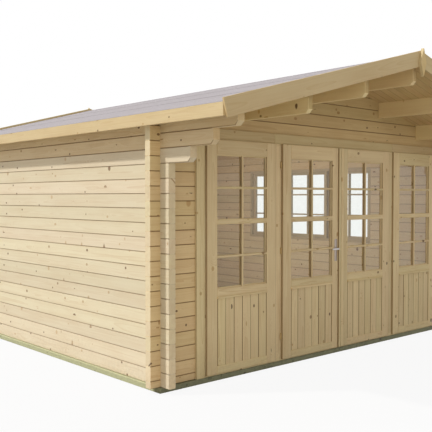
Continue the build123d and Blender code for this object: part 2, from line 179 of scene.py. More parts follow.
def ellipse(half_width: float, half_depth: float, count: int = 24) -> Section:
    """Points of an ellipse."""
    turns = (2 * math.pi * index / count for index in range(count))
    return [(half_width * math.cos(turn), half_depth * math.sin(turn)) for turn in turns]


def ring(run: float, section: Section, lean: Pair = (0.0, 0.0)) -> Ring:
    """Section at a place along the run, on a cut that leans across its width and depth."""
    return [Vector((run + lean[0] * t + lean[1] * u, t, u)) for t, u in section]


@dataclass(frozen=True)
class Bench:
    """Where a timber lies: the directions of its run, width and depth, and an origin."""

    run: Vector
    width: Vector
    depth: Vector
    origin: Vector = field(default_factory=Vector)

    def place(self, point: Vector) -> Vector:
        """Point of the timber in the cabin's frame."""
        return self.origin + self.run * point.x + self.width * point.y + self.depth * point.z


ALONG_X = Bench(X_AXIS, Z_AXIS, Y_AXIS)
ALONG_Y = Bench(Y_AXIS, Z_AXIS, X_AXIS)
FLAT_Y = Bench(Y_AXIS, X_AXIS, Z_AXIS)
UPRIGHT = Bench(Z_AXIS, X_AXIS, Y_AXIS)
UPRIGHT_SIDE = Bench(Z_AXIS, Y_AXIS, X_AXIS)

EASED = [Part.ARRIS, Part.FACE] * 4


@dataclass
class Piece:
    """Mesh of one piece, gathered from lofted timbers with grain of their own."""

    name: str
    seed: int
    heart: Heart = Heart.NEAR
    points: list[Vector] = field(default_factory=list)
    grain: list[Vector] = field(default_factory=list)
    faces: list[tuple[int, ...]] = field(default_factory=list)
    tones: list[Triple] = field(default_factory=list)
    cuts: list[Triple] = field(default_factory=list)

    def __post_init__(self) -> None:
        """Start the draws for the grain and tone of its timbers."""
        self.random = Random(self.seed)

    def loft(self, bench: Bench, rings: Sequence[Ring], parts: Sequence[Part] = ()) -> None:
        """Add one closed timber.

        Args:
            bench: Where it lies.
            rings: Its cross-sections in order, each with as many points.
            parts: What each side of the section is; plain faces if left out.
        """
        count = len(rings[0])
        flat = [point for points in rings for point in points]
        middle = [(min(p[axis] for p in flat) + max(p[axis] for p in flat)) / 2 for axis in (1, 2)]
        draw = self.random
        shift = Vector((draw.uniform(0.0, 40.0), draw.uniform(-0.02, 0.02) - middle[0],
                        draw.choice((-1, 1)) * draw.uniform(*self.heart.value) - middle[1]))
        tone = (draw.random(), draw.random(), draw.random())
        start = len(self.points)
        last = start + len(flat) - count
        self.points += [bench.place(point) for point in flat]
        self.grain += [point + shift for point in flat]
        made = [(tuple(range(start, start + count)), Part.END)]
        for base in range(start, last, count):
            for side, part in enumerate(parts or [Part.FACE] * count):
                after = (side + 1) % count
                made.append(((base + side, base + after, base + count + after,
                              base + count + side), part))
        made.append((tuple(range(last, last + count)), Part.END))
        self.faces += [corners for corners, _ in made]
        self.cuts += [part.value for _, part in made]
        self.tones += [tone] * len(made)

    def extrude(self, bench: Bench, section: Section, span: Pair, parts: Sequence[Part] = (),
                ease: float = 0.0015, lean: Pair = (0.0, 0.0)) -> None:
        """Add a timber of one section.

        Args:
            bench: Where it lies.
            section: Its section as (width, depth) points.
            span: Start and end of its run.
            parts: What each side of the section is.
            ease: How far its end edges are cut back.
            lean: Slope of both end cuts across the width and the depth.
        """
        small = shrunk(section, ease)
        places = ((span[0], small), (span[0] + ease, section), (span[1] - ease, section),
                  (span[1], small))
        self.loft(bench, [ring(run, shape, lean) for run, shape in places], parts)

    def plank(self, bench: Bench, span: Pair, width: Pair, depth: Pair,
              ease: float = 0.0015) -> None:
        """Add a squared timber with eased edges between two widths and two depths."""
        self.extrude(bench, eased_box(width, depth, ease), span, EASED, ease)

    def border(self, benches: tuple[Bench, Bench], along: Pair, across: Pair, size: float,
               depth: Pair, ease: float = 0.0015) -> None:
        """Add four planks round a rectangle.

        Args:
            benches: Bench of the two that run through, and of the two between them.
            along: Start and end of those that run through.
            across: Start and end of the rectangle the other way.
            size: Width of each plank.
            depth: Their two faces.
            ease: How far their edges are cut back.
        """
        between = (across[0] + size, across[1] - size)
        for bench, span, edges in ((benches[0], along, across), (benches[1], between, along)):
            for edge in (edges[0], edges[1] - size):
                self.plank(bench, span, (edge, edge + size), depth, ease)

    def turned(self, bench: Bench, centre: Triple, profile: Sequence[Pair]) -> None:
        """Add a turned part about a bench's run, from (run, radius) points at a centre."""
        self.loft(replace(bench, origin=Vector(centre)),
                  [ring(run, ellipse(radius, radius)) for run, radius in profile])

    def finish(self, finish: "Finish", nodes: Sequence[str] = (), body: str = "root",
               smooth: bool = False) -> None:
        """Turn the gathered timbers into a piece of the scene.

        Args:
            finish: The finish that dresses it.
            nodes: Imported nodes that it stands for.
            body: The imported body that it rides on.
            smooth: Whether its round faces shade smoothly.
        """
        mesh = bpy.data.meshes.new(self.name)
        mesh.from_pydata([tuple(point) for point in self.points], [], self.faces)
        for name, rows, domain in (("grain", self.grain, "POINT"), ("tone", self.tones, "FACE"),
                                   ("cut", self.cuts, "FACE")):
            layer = mesh.attributes.new(name, "FLOAT_VECTOR", domain)
            layer.data.foreach_set("vector", [value for row in rows for value in row])
        work = bmesh.new()
        work.from_mesh(mesh)
        bmesh.ops.recalc_face_normals(work, faces=work.faces)
        work.to_mesh(mesh)
        work.free()
        if smooth:
            mesh.shade_smooth()
            mesh.set_sharp_from_angle(angle=math.radians(40.0))
        mesh.materials.append(finish.material())
        piece = placed(self.name, mesh)
        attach(piece, body)
        if nodes:
            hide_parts(*nodes)
        log.info("%s: %d faces on %s", self.name, len(mesh.polygons), body)


# ---------- shader graphs
@dataclass(frozen=True)
class Wire:
    """Output of a node, on which arithmetic adds Math nodes to its graph."""

    graph: "Graph"
    socket: Socket

    def __add__(self, other: "Value") -> "Wire":
        """Sum of this and another value."""
        return self.graph.math("ADD", self, other)

    def __sub__(self, other: "Value") -> "Wire":
        """This less another value."""
        return self.graph.math("SUBTRACT", self, other)

    def __mul__(self, other: "Value") -> "Wire":
        """Product of this and another value."""
        return self.graph.math("MULTIPLY", self, other)

    def __truediv__(self, other: "Value") -> "Wire":
        """This over another value."""
        return self.graph.math("DIVIDE", self, other)


Value = float | Triple | Socket | Wire


@dataclass(frozen=True)
class Graph:
    """Short calls that build one shader node tree."""

    tree: bpy.types.NodeTree

    def feed(self, socket: Socket, value: Value) -> None:
        """Link a socket to another, or write a constant on it.

        Args:
            socket: The socket to set.
            value: What it gets.
        """
        given = value.socket if isinstance(value, Wire) else value
        if isinstance(given, bpy.types.NodeSocket):
            self.tree.links.new(given, socket)
        else:
            socket.default_value = (*given, 1.0) if socket.type == "RGBA" else given

    def node(self, kind: str, inputs: dict[str | int, Value] | None = None,
             **settings: object) -> bpy.types.Node:
        """Add a node.

        Args:
            kind: Its type.
            inputs: Values of its input sockets, by name or number.
            settings: Its properties.

        Returns:
            The node.
        """
        made = self.tree.nodes.new(kind)
        for name, value in settings.items():
            setattr(made, name, value)
        for key, value in (inputs or {}).items():
            self.feed(made.inputs[key], value)
        return made

    def wire(self, kind: str, inputs: dict[str | int, Value] | None = None,
             output: str | int = 0, **settings: object) -> Wire:
        """One output of a new node; the other arguments are those of node()."""
        return Wire(self, self.node(kind, inputs, **settings).outputs[output])

    def math(self, operation: str, *values: Value, clamp: bool = False) -> Wire:
        """Result of a Math node on some values."""
        return self.wire("ShaderNodeMath", dict(enumerate(values)), operation=operation,
                         use_clamp=clamp)

    def scaled(self, vector: Value, *shares: float) -> Wire:
        """Vector with each part scaled by its share."""
        return self.wire("ShaderNodeVectorMath", {0: vector, 1: shares}, operation="MULTIPLY")

    def split(self, vector: Value) -> tuple[Wire, ...]:
        """The three parts of a vector."""
        made = self.node("ShaderNodeSeparateXYZ", {0: vector})
        return tuple(Wire(self, output) for output in made.outputs)

    def ramp(self, value: Value, low: float, high: float, start: float = 0.0,
             end: float = 1.0) -> Wire:
        """Smooth step of a value from a start below the low mark to an end above the high one."""
        return self.wire("ShaderNodeMapRange", dict(enumerate((value, low, high, start, end))),
                         interpolation_type="SMOOTHSTEP")

    def mix(self, share: Value, first: Value, second: Value, blend: str = "MIX") -> Wire:
        """Two colours blended by a share of the second."""
        return self.wire("ShaderNodeMix", {0: share, 6: first, 7: second}, 2,
                         data_type="RGBA", blend_type=blend)

    def noise(self, vector: Value, scale: Value, detail: float = 2.0, roughness: float = 0.5,
              output: str | int = 0) -> Wire:
        """Noise over a vector, as a value or a colour."""
        return self.wire("ShaderNodeTexNoise", {
            "Vector": vector, "Scale": scale, "Detail": detail, "Roughness": roughness}, output)

    def attribute(self, name: str) -> Wire:
        """A mesh attribute as a vector."""
        return self.wire("ShaderNodeAttribute", output="Vector", attribute_name=name)

    def place(self) -> Wire:
        """Place on the object, which rides with its body."""
        return self.wire("ShaderNodeTexCoord", output="Object")

    def bump(self, height: Value, distance: float, strength: float = 0.5) -> Wire:
        """Normal that follows a height, whose full step is a distance."""
        return self.wire("ShaderNodeBump", {"Strength": strength, "Distance": distance,
                                            "Height": height})

    def seen(self) -> Wire:
        """Mask of the rays that look at a surface: camera, glossy and transmission rays."""
        rays = self.node("ShaderNodeLightPath").outputs
        return self.math("MAXIMUM", rays["Is Camera Ray"], self.math(
            "MAXIMUM", rays["Is Glossy Ray"], rays["Is Transmission Ray"]))

    def surface(self, share: Value, first: Socket, second: Socket) -> None:
        """Put two shaders on the tree's output.

        Args:
            share: Share of the second.
            first: The first shader.
            second: The second shader.
        """
        leave = next(node for node in self.tree.nodes if node.type.startswith("OUTPUT"))
        self.feed(leave.inputs["Surface"],
                  self.wire("ShaderNodeMixShader", {0: share, 1: first, 2: second}))


def label(name: str) -> str:
    """Socket label of a plain name."""
    return name.replace("_", " ").title()


class Effect:
    """A shader node group that several finishes place with values of their own."""

    inputs: dict[str, Kind] = {}
    outputs: dict[str, Kind] = {}

    def build(self, graph: Graph, given: dict[str, Wire]) -> dict[str, Wire]:
        """Add the group's nodes.

        Args:
            graph: The group's graph.
            given: Its inputs by name.

        Returns:
            What it puts out, by name.
        """
        raise NotImplementedError

    def tree(self) -> bpy.types.NodeTree:
        """The group's tree.

        Returns:
            The tree, made the first time that it is asked for.
        """
        title = type(self).__name__
        if title in bpy.data.node_groups:
            return bpy.data.node_groups[title]
        tree = bpy.data.node_groups.new(title, "ShaderNodeTree")
        for sockets, way in ((self.inputs, "INPUT"), (self.outputs, "OUTPUT")):
            for name, kind in sockets.items():
                tree.interface.new_socket(name=label(name), in_out=way, socket_type=kind.value)
        graph = Graph(tree)
        entry = graph.node("NodeGroupInput").outputs
        made = self.build(graph, {name: Wire(graph, entry[label(name)]) for name in self.inputs})
        graph.node("NodeGroupOutput", {label(name): wire for name, wire in made.items()})
        return tree

    def use(self, graph: Graph, **values: Value) -> dict[str, Wire]:
        """Place the group in a material.

        Args:
            graph: The material's graph.
            values: The group's inputs by name.

        Returns:
            The placed group's outputs by name.
        """
        made = graph.node("ShaderNodeGroup", node_tree=self.tree())
        for name, value in values.items():
            graph.feed(made.inputs[label(name)], value)
        return {name: Wire(graph, made.outputs[label(name)]) for name in self.outputs}


class TimberFigure(Effect):
    """Growth rings, knots, streaks and sawn ends of softwood, followed through each timber, with
    painted shade in its grooves and gaps.
    """

    inputs = {
        **dict.fromkeys(("pale", "late", "knot", "end_tint"), Kind.COLOUR),
        **dict.fromkeys(("ring_spacing", "ring_strength", "streaks", "knot_radius", "knot_share",
                         "tone_spread", "hue_spread", "groove"), Kind.NUMBER)}
    outputs = {"colour": Kind.COLOUR, "roughness": Kind.NUMBER, "height": Kind.NUMBER}
    knot_run = 0.34  # mean run between knots
    knot_turn = 1.05  # mean angle between knots round the pith, in radians
    knot_squash = 0.72  # a knot's width over its length along the timber
    wander = 0.034  # how far the pith strays from a straight line
    # painted shade: the brown that grooves, slits and the edges at gaps are darkened towards
    groove_shade_tint = (0.30, 0.19, 0.10)
    pink = (1.04, 0.97, 1.02)
    yellow = (0.93, 1.0, 0.86)

    # Scales of the noises along, across and into a timber.
    sway_scale = (0.8, 6.0, 6.0)
    streak_scale = (1.1, 34.0, 34.0)
    cloud_scale = (2.2, 9.0, 9.0)
    fibre_scale = (18.0, 700.0, 700.0)

    def knots(self, graph: Graph, along: Wire, turn: Wire, radius: Wire,
              given: dict[str, Wire]) -> tuple[Wire, Wire, Wire]:
        """Knots, which grow out from the pith and keep their size.

        Args:
            graph: The group's graph.
            along: Run along the timber.
            turn: Angle round the pith.
            radius: Distance from the pith.
            given: The group's inputs.

        Returns:
            The knot mask, the swell of the rings round a knot, and a value for its darkness.
        """
        cell = graph.wire("ShaderNodeCombineXYZ", {0: along / self.knot_run,
                                                   1: turn / self.knot_turn})
        cells = graph.node("ShaderNodeTexVoronoi", {"Vector": cell, "Scale": 1.0},
                           voronoi_dimensions="2D").outputs
        at_run, at_turn, _ = graph.split(cells["Position"])
        chance, size, dark = graph.split(cells["Color"])
        off_run = (along - at_run * self.knot_run) * self.knot_squash
        off_side = (turn - at_turn * self.knot_turn) * radius
        reach = given["knot_radius"] * (size * size * 0.75 + 0.4)
        near = graph.math("SQRT", off_run * off_run + off_side * off_side) / reach
        present = graph.math("LESS_THAN", chance, given["knot_share"])
        swell = present * reach * graph.math("EXPONENT", near * near * -0.12)
        return present * graph.ramp(near, 0.72, 1.12, 1.0, 0.0), swell, dark

    def build(self, graph: Graph, given: dict[str, Wire]) -> dict[str, Wire]:
        """Add the figure's nodes.

        Args:
            graph: The group's graph.
            given: Its inputs by name.

        Returns:
            What it puts out, by name.
        """
        grain = graph.attribute("grain")
        tone, hue, _ = graph.split(graph.attribute("tone"))
        # the cut attribute holds the shares of end grain, painted groove shade and eased edge
        end, groove, arris = graph.split(graph.attribute("cut"))
        along, across, deep = graph.split(grain)
        _, sway, lift = graph.split(graph.noise(graph.scaled(grain, *self.sway_scale),
                                                1.0, output="Color"))
        across += (sway - 0.5) * self.wander
        deep += (lift - 0.5) * self.wander
        radius = graph.math("SQRT", across * across + deep * deep)
        turn = graph.math("ARCTAN2", across, deep)
        knot, swell, dark = self.knots(graph, along, turn, radius, given)
        year = (radius + swell) / given["ring_spacing"]
        season = graph.math("FRACT", year)
        fat = graph.wire("ShaderNodeTexWhiteNoise", {"W": graph.math("FLOOR", year)}, "Value",
                         noise_dimensions="1D")
        late = graph.math("POWER", season, 2.2) * (fat * 0.7 + 0.3)
        streak = graph.noise(graph.scaled(grain, *self.streak_scale), 1.0, 3.0, 0.6)
        cloud = graph.noise(graph.scaled(grain, *self.cloud_scale), 1.0)
        fibre = graph.noise(graph.scaled(grain, *self.fibre_scale), 1.0)
        share = late * given["ring_strength"] + (streak + cloud - 0.92) * given["streaks"]
        wood = graph.mix(share, given["pale"], given["late"])
        knot_shade = graph.mix(graph.ramp(dark, 0.2, 0.9), given["late"], given["knot"])
        wood = graph.mix(knot * 0.9, wood, knot_shade)
        cast = graph.mix(hue, self.yellow, self.pink)
        wood = graph.mix(given["hue_spread"], wood, cast, "MULTIPLY")
        wood = graph.mix(end, wood, given["end_tint"], "MULTIPLY")
        # painted shade: darken the groove faces towards the brown groove tint
        wood = graph.mix(groove * given["groove"], wood, self.groove_shade_tint, "MULTIPLY")
        level = ((tone - 0.5) * given["tone_spread"] + 1.0) * (arris * 0.05 + 1.0)
        return {"colour": graph.wire("ShaderNodeVectorMath", {0: wood, "Scale": level},
                                     operation="SCALE"),
                "roughness": fibre * 0.16 + 0.5 + end * 0.18 - knot * 0.14,
                "height": fibre * 0.5 + season * 0.35 + knot * 0.5}


class Soiling(Effect):
    """Dust and damp: a mask that grows towards the ground, broken up by specks."""

    inputs = dict.fromkeys(("reach", "low", "overall", "grain_size"), Kind.NUMBER)
    outputs = {"mask": Kind.NUMBER}
    patch_scale = 2.3

    def build(self, graph: Graph, given: dict[str, Wire]) -> dict[str, Wire]:
        """Add the soiling's nodes.

        Args:
            graph: The group's graph.
            given: Its inputs by name.

        Returns:
            What it puts out, by name.
        """
        place = graph.place()
        rise = graph.split(place)[2] / given["reach"]
        low = graph.ramp(rise, 0.0, 1.0, 1.0, 0.0) * given["low"]
        speck = graph.noise(place, graph.math("DIVIDE", 1.0, given["grain_size"]), 3.0)
        patch = graph.noise(place, self.patch_scale, 3.0)
        broken = graph.ramp(speck, 0.35, 0.7) * graph.ramp(patch, 0.3, 0.7, 0.35, 1.0)
        return {"mask": graph.math("MULTIPLY", low + given["overall"], broken, clamp=True)}


@dataclass(frozen=True)
class Dirt:
    """Amount of soiling: the height that it reaches, its shares there and overall, and the
    size of its specks."""

    reach: float
    low: float
    overall: float
    grain_size: float

    def mask(self, graph: Graph) -> Wire:
        """Its mask in a material."""
        return Soiling().use(graph, **vars(self))["mask"]


# ---------- finishes
@dataclass(frozen=True)
class Finish:
    """A finish of one slot, which builds its material the first time that a piece asks for it."""

    name: str
    slot: Slot

    def dress(self, graph: Graph) -> dict[str, Value]:
        """Add the material's own nodes.

        Args:
            graph: The material's graph.

        Returns:
            Values for the Principled shader's sockets, by name.
        """
        raise NotImplementedError

    def cover(self, graph: Graph, shader: bpy.types.Node) -> None:
        """Change what the surface puts out; most finishes leave the plain shader there.

        Args:
            graph: The material's graph.
            shader: Its Principled shader.
        """

    def material(self) -> bpy.types.Material:
        """The finish's material.

        Returns:
            The material, made the first time that it is asked for.
        """
        if self.name in bpy.data.materials:
            return bpy.data.materials[self.name]
        made = bpy.data.materials.new(self.name)
        made.use_nodes = True
        graph = Graph(made.node_tree)
        shader = made.node_tree.nodes["Principled BSDF"]
        for name, value in self.dress(graph).items():
            graph.feed(shader.inputs[name], value)
        self.cover(graph, shader)
        return made


DAMP = Dirt(reach=0.35, low=0.12, overall=0.02, grain_size=0.03)


@dataclass(frozen=True)
class WoodFinish(Finish):
    """Bare softwood: its colours, ring figure, knots, spread between timbers and the strength of
    its painted groove shade.
    """

    pale: Triple = linear(218, 206, 179)
    late: Triple = linear(196, 170, 132)
    knot: Triple = linear(92, 62, 36)
    soil: Triple = linear(120, 112, 84)
    ring_spacing: float = 0.0048
    ring_strength: float = 0.4
    streaks: float = 0.6
    knot_radius: float = 0.016
    knot_share: float = 0.5
    tone_spread: float = 0.1
    hue_spread: float = 0.3
    # share of the painted shade in grooves and gaps
    groove: float = 0.85
    end_tint: Triple = (1.09, 1.05, 0.97)
    damp: Dirt = DAMP
    relief: float = 0.0006

    def dress(self, graph: Graph) -> dict[str, Value]:
        """Figured wood with a little damp at its foot.

        Args:
            graph: The material's graph.

        Returns:
            Values for the Principled shader's sockets, by name.
        """
        figure = TimberFigure().use(
            graph, **{name: getattr(self, name) for name in TimberFigure.inputs})
        return {"Base Color": graph.mix(self.damp.mask(graph), figure["colour"], self.soil),
                "Roughness": figure["roughness"], "Specular IOR Level": 0.32,
                "Normal": graph.bump(figure["height"], self.relief)}


@dataclass(frozen=True)
class FibreFinish(Finish):
    """Pressed wood-fibre board: matted fibres in mixed browns."""

    light: Triple = linear(190, 160, 116)
    dark: Triple = linear(128, 98, 62)
    strand_scale: float = 240.0
    relief: float = 0.001

    def dress(self, graph: Graph) -> dict[str, Value]:
        """Matted strands.

        Args:
            graph: The material's graph.

        Returns:
            Values for the Principled shader's sockets, by name.
        """
        strand = graph.noise(graph.scaled(graph.place(), 1.0, 0.25, 1.0), self.strand_scale,
                             4.0, 0.7)
        return {"Base Color": graph.mix(graph.ramp(strand, 0.3, 0.7), self.light, self.dark),
                "Roughness": strand * 0.1 + 0.85, "Normal": graph.bump(strand, self.relief)}


@dataclass(frozen=True)
class FeltFinish(Finish):
    """Mineral-surfaced roofing felt: pressed granules in slightly uneven shades."""

    light: Triple = linear(170, 165, 169)
    dark: Triple = linear(140, 134, 139)
    soil: Triple = linear(128, 122, 112)
    dirt: Dirt = Dirt(reach=0.1, low=0.0, overall=0.12, grain_size=0.12)
    granule_scale: float = 420.0
    cloud_scale: float = 2.6
    relief: float = 0.0012

    def dress(self, graph: Graph) -> dict[str, Value]:
        """Granules, in clouds, with dust.

        Args:
            graph: The material's graph.

        Returns:
            Values for the Principled shader's sockets, by name.
        """
        place = graph.place()
        cells = graph.node("ShaderNodeTexVoronoi", {"Vector": place, "Scale": self.granule_scale},
                           feature="F1").outputs
        shade = graph.split(cells["Color"])[0]
        cloud = graph.noise(graph.scaled(place, 1.0, 0.35, 1.0), self.cloud_scale, 4.0, 0.6)
        felt = graph.mix(shade * 0.5 + (cloud - 0.3) * 0.25, self.light, self.dark)
        return {"Base Color": graph.mix(self.dirt.mask(graph), felt, self.soil),
                "Roughness": shade * 0.12 + 0.82, "Specular IOR Level": 0.25,
                "Normal": graph.bump(graph.math("SUBTRACT", 1.0, cells["Distance"]),
                                     self.relief)}


@dataclass(frozen=True)
class SteelFinish(Finish):
    """Satin steel with fine brushing."""

    colour: Triple = linear(186, 186, 188)
    stain: Triple = linear(120, 118, 114)
    roughness: float = 0.3
    dirt: Dirt = Dirt(reach=0.4, low=0.2, overall=0.16, grain_size=0.012)
    brush_scale: float = 2600.0
    relief: float = 0.00008

    def dress(self, graph: Graph) -> dict[str, Value]:
        """Brushed metal with faint stains.

        Args:
            graph: The material's graph.

        Returns:
            Values for the Principled shader's sockets, by name.
        """
        brush = graph.noise(graph.scaled(graph.place(), 1.0, 1.0, 0.04), self.brush_scale)
        return {"Base Color": graph.mix(self.dirt.mask(graph), self.colour, self.stain),
                "Metallic": 1.0,
                "Roughness": brush * 0.22 + (self.roughness - 0.08),
                "Normal": graph.bump(brush, self.relief, 0.35)}


@dataclass(frozen=True)
class HollowShadeFinish(Finish):
    """Painted shade standing for the hollow of a lock or screw recess, with dust in it."""

    # painted shade of the hollow
    colour: Triple = linear(34, 32, 30)
    dust: Triple = linear(96, 90, 80)
    dirt: Dirt = Dirt(reach=0.4, low=0.2, overall=0.5, grain_size=0.004)

    def dress(self, graph: Graph) -> dict[str, Value]:
        """Painted hollow shade with dust.

        Args:
            graph: The material's graph.

        Returns:
            Values for the Principled shader's sockets, by name.
        """
        mask = self.dirt.mask(graph)
        return {"Base Color": graph.mix(mask, self.colour, self.dust),
                "Roughness": mask * 0.3 + 0.55}


@dataclass(frozen=True)
class GlassFinish(Finish):
    """Clear window glass with a breath of dust, which lets lamps through."""

    tint: Triple = linear(251, 253, 251)
    dusty: Triple = linear(232, 232, 226)
    dirt: Dirt = Dirt(reach=1.4, low=0.2, overall=0.1, grain_size=0.05)

    def dress(self, graph: Graph) -> dict[str, Value]:
        """Clear glass, slightly dulled by dust.

        Args:
            graph: The material's graph.

        Returns:
            Values for the Principled shader's sockets, by name.
        """
        mask = self.dirt.mask(graph)
        return {"Base Color": graph.mix(mask, self.tint, self.dusty),
                "Roughness": mask * 0.08 + 0.01, "Transmission Weight": 1.0, "IOR": 1.4}

    def cover(self, graph: Graph, shader: bpy.types.Node) -> None:
        """Let the lamps' shadow rays pass.

        Args:
            graph: The material's graph.
            shader: Its Principled shader.
        """
        clear = graph.node("ShaderNodeBsdfTransparent", {"Color": self.tint}).outputs[0]
        path = graph.node("ShaderNodeLightPath").outputs
        graph.surface(path["Is Shadow Ray"], shader.outputs[0], clear)


# LOG_WOOD is the spruce as the sunlit side wall shows it; several finishes below are darker or
# paler copies of it, painted for the shade or sun where their timbers stand
LOG_WOOD = WoodFinish("SpruceLogs", Slot.LOGS, knot=linear(112, 80, 50), knot_share=0.4,
                      groove=0.7)
# painted shade: darker, warmer spruce for the upper corbels and eave logs, which lie in the eave's
# shadow
SHADED_CORBEL_WOOD = WoodFinish("ShadedCorbelSpruce", Slot.LOGS, linear(214, 195, 158), linear(186, 152, 104))
# painted shade and light: golden for the front logs' faces in shade, with the end grain tinted
# paler and cooler for the sun on the left ends
FRONT_SHADE_AND_SUN_WOOD = WoodFinish("FrontSpruceShadeAndSun", Slot.LOGS, linear(226, 201, 154), linear(196, 157, 106),
                        end_tint=(0.95, 1.06, 1.3))
# painted light: paler spruce that brightens the purlins' shaded sides, with the end grain darkened
# so the ends keep their tone
PURLIN_PAINTED_LIGHT_WOOD = WoodFinish("PurlinSprucePaintedLight", Slot.LOGS, linear(232, 212, 164), linear(208, 174, 120),
                         end_tint=(0.66, 0.60, 0.51))
# painted shade: darker, warmer spruce for the gables under the roof
SHADED_GABLE_WOOD = WoodFinish("ShadedGableSpruce", Slot.LOGS, linear(204, 180, 132), linear(170, 134, 86))
# warmer than the logs: partly planed spruce's own colour, partly painted warm shade for the door
# front under the roof
JOINERY_WOOD = WoodFinish(
    "PlanedSpruce", Slot.JOINERY, linear(226, 207, 165), linear(193, 160, 112),
    ring_spacing=0.0038, ring_strength=0.5, knot_radius=0.015, tone_spread=0.12,
    damp=replace(DAMP, low=0.15))
# painted shade: greyer, darker spruce for the window joinery, seen backlit from inside
SHADED_WINDOW_WOOD = WoodFinish(
    "ShadedWindowSpruce", Slot.JOINERY, linear(192, 180, 153), linear(166, 146, 115),
    ring_spacing=0.0038, knot_radius=0.012, knot_share=0.3)
TRIM_WOOD = WoodFinish("TrimSpruce", Slot.JOINERY, linear(206, 186, 144), linear(182, 150, 102),
                       knot_share=0.4, tone_spread=0.08)
BOARD_WOOD = WoodFinish(
    "SpruceBoards", Slot.BOARDS, linear(226, 200, 152), linear(190, 148, 94),
    ring_spacing=0.004, knot_radius=0.014, knot_share=0.4, tone_spread=0.2)
# painted shade: darker, warmer boards for the roof's underside, which lies in shade, with weaker
# painted groove shade
SHADED_SOFFIT_WOOD = WoodFinish(
    "ShadedSoffitBoards", Slot.BOARDS, linear(206, 180, 132), linear(176, 138, 88),
    ring_spacing=0.004, knot_radius=0.012, knot_share=0.25, groove=0.5)
# painted shade: darker treated timber for the front and back bearers and the joists, which lie in
# shade
SHADED_TREATED_WOOD = WoodFinish(
    "TreatedTimber", Slot.TREATED, linear(132, 132, 106), linear(98, 99, 74), linear(60, 55, 35),
    linear(76, 74, 56), tone_spread=0.14, damp=replace(DAMP, low=0.4))
# painted light: paler copy of the treated timber for the sunlit side bearers
SUNLIT_SIDE_TREATED = WoodFinish(
    "SunlitTreatedSideTimber", Slot.TREATED, linear(178, 179, 142), linear(152, 152, 114),
    linear(92, 86, 56), linear(140, 140, 108), tone_spread=0.14, damp=replace(DAMP, low=0.3))
FIBRE = FibreFinish("WoodFibre", Slot.FIBRE)
FELT = FeltFinish("MineralFelt", Slot.FELT)
STEEL = SteelFinish("SatinSteel", Slot.STEEL, linear(198, 192, 190))
PLATE_STEEL = SteelFinish("PlateSteel", Slot.STEEL, linear(170, 157, 146), roughness=0.36)
ZINC = SteelFinish("YellowZinc", Slot.STEEL, linear(190, 162, 112), linear(128, 104, 66), 0.5)
BORE_SHADE = HollowShadeFinish("PaintedBoreShade", Slot.STEEL)
GLASS = GlassFinish("ClearGlass", Slot.GLASS)


# ---------- planes read from the frame
@dataclass(frozen=True)
class Planes:
    """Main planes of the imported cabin."""

    outer: float
    inner: float
    front: float
    front_inner: float
    back: float
    back_inner: float
    base: float
    gable_base: float
    wall_top: float
    end_x: float
    end_front: float
    end_back: float

    @classmethod
    def read(cls) -> "Planes":
        """Planes of the nodes as packed.

        Returns:
            The planes.
        """
        side_low, side_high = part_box("left_wall")
        ends_low, ends_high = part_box("front_wall_ends")
        back_low, back_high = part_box("back_wall")
        eave_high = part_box("eave_logs")[1]
        return cls(
            outer=-side_low.x, inner=-side_high.x, front=ends_low.y, front_inner=ends_high.y,
            back=back_high.y, back_inner=back_low.y, base=side_low.z, gable_base=ends_high.z,
            wall_top=eave_high.z - (side_high.x - side_low.x) * SLOPE,
            end_x=ends_high.x, end_front=side_low.y, end_back=side_high.y)

    def underside(self, x: float = 0.0) -> float:
        """Height of the roof boards' underside at x."""
        return self.wall_top + (self.outer - abs(x)) * SLOPE


# ---------- log walls
@dataclass(frozen=True)
class Station:
    """Section of a log at one place along it, which may slant with the height."""

    at: Place
    low: float
    high: float
    bevel: float

    def run(self, height: float) -> float:
        """Its place along the log at a height."""
        return self.at(height) if callable(self.at) else self.at


@dataclass(frozen=True)
class Log:
    """Heights of one log, and the heights that a notch for a crossing log leaves of it."""

    low: float
    high: float
    kept: Pair
    bevel: float
    notch_bevel: float = 0.0006

    def full(self, at: Place) -> Station:
        """Its whole section at a place."""
        return Station(at, self.low, self.high, self.bevel)

    def notch(self, start: float, end: float) -> list[Station]:
        """The four stations of a notch."""
        return [self.full(start), Station(start, *self.kept, self.notch_bevel),
                Station(end, *self.kept, self.notch_bevel), self.full(end)]


@dataclass(frozen=True)
class WallLine:
    """Line of one wall: its bench and the places of its inner and outer faces."""

    bench: Bench
    inner: float
    outer: float

    def at(self, share: float) -> float:
        """Place at a share of the thickness, from the inner face."""
        return self.inner + (self.outer - self.inner) * share


@dataclass(frozen=True)
class LogProfile:
    """Section of a tongued log: bevels at both faces and an open joint behind them."""

    height: float = 0.120
    thickness: float = 0.068
    bevel: float = 0.005
    gap: float = 0.0007
    gap_depth: float = 0.0025
    ease: float = 0.0018
    sloped_bevel: float = 0.1  # share of the bevel that a sloping top keeps

    # the bevels and the open joint take painted groove shade
    parts = ([Part.BEVEL, Part.SLIT, Part.SLIT, Part.FACE, Part.SLIT, Part.SLIT, Part.BEVEL,
              Part.FACE] * 2)

    def section(self, cut: Station, rise: float) -> Section:
        """Section of a log at a station.

        Args:
            cut: The station, whose top is the one at the outer face.
            rise: Slope of the top towards the inner face.

        Returns:
            Points as (height, depth from the inner face).
        """
        gap = min(self.gap, cut.bevel / 2)
        deep = cut.bevel + self.gap_depth
        half = [(cut.bevel, 0.0), (gap, cut.bevel - gap), (gap, deep), (0.0, deep)]
        across = half + [(lift, self.thickness - depth) for lift, depth in reversed(half)]
        crown = self.sloped_bevel if rise else 1.0
        return ([(cut.low + lift, depth) for lift, depth in across]
                + [(cut.high + (self.thickness - depth) * rise - lift * crown, depth)
                   for lift, depth in reversed(across)])


@dataclass(frozen=True)
class Hole:
    """Hole sawn in the right wall for the windows."""

    start: float
    end: float
    low: float
    high: float

    @classmethod
    def read(cls) -> "Hole":
        """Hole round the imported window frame, with its sawing clearance."""
        low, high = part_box("window_frame")
        return cls(low.y - FIT, high.y + FIT, low.z - FIT, high.z + FIT)


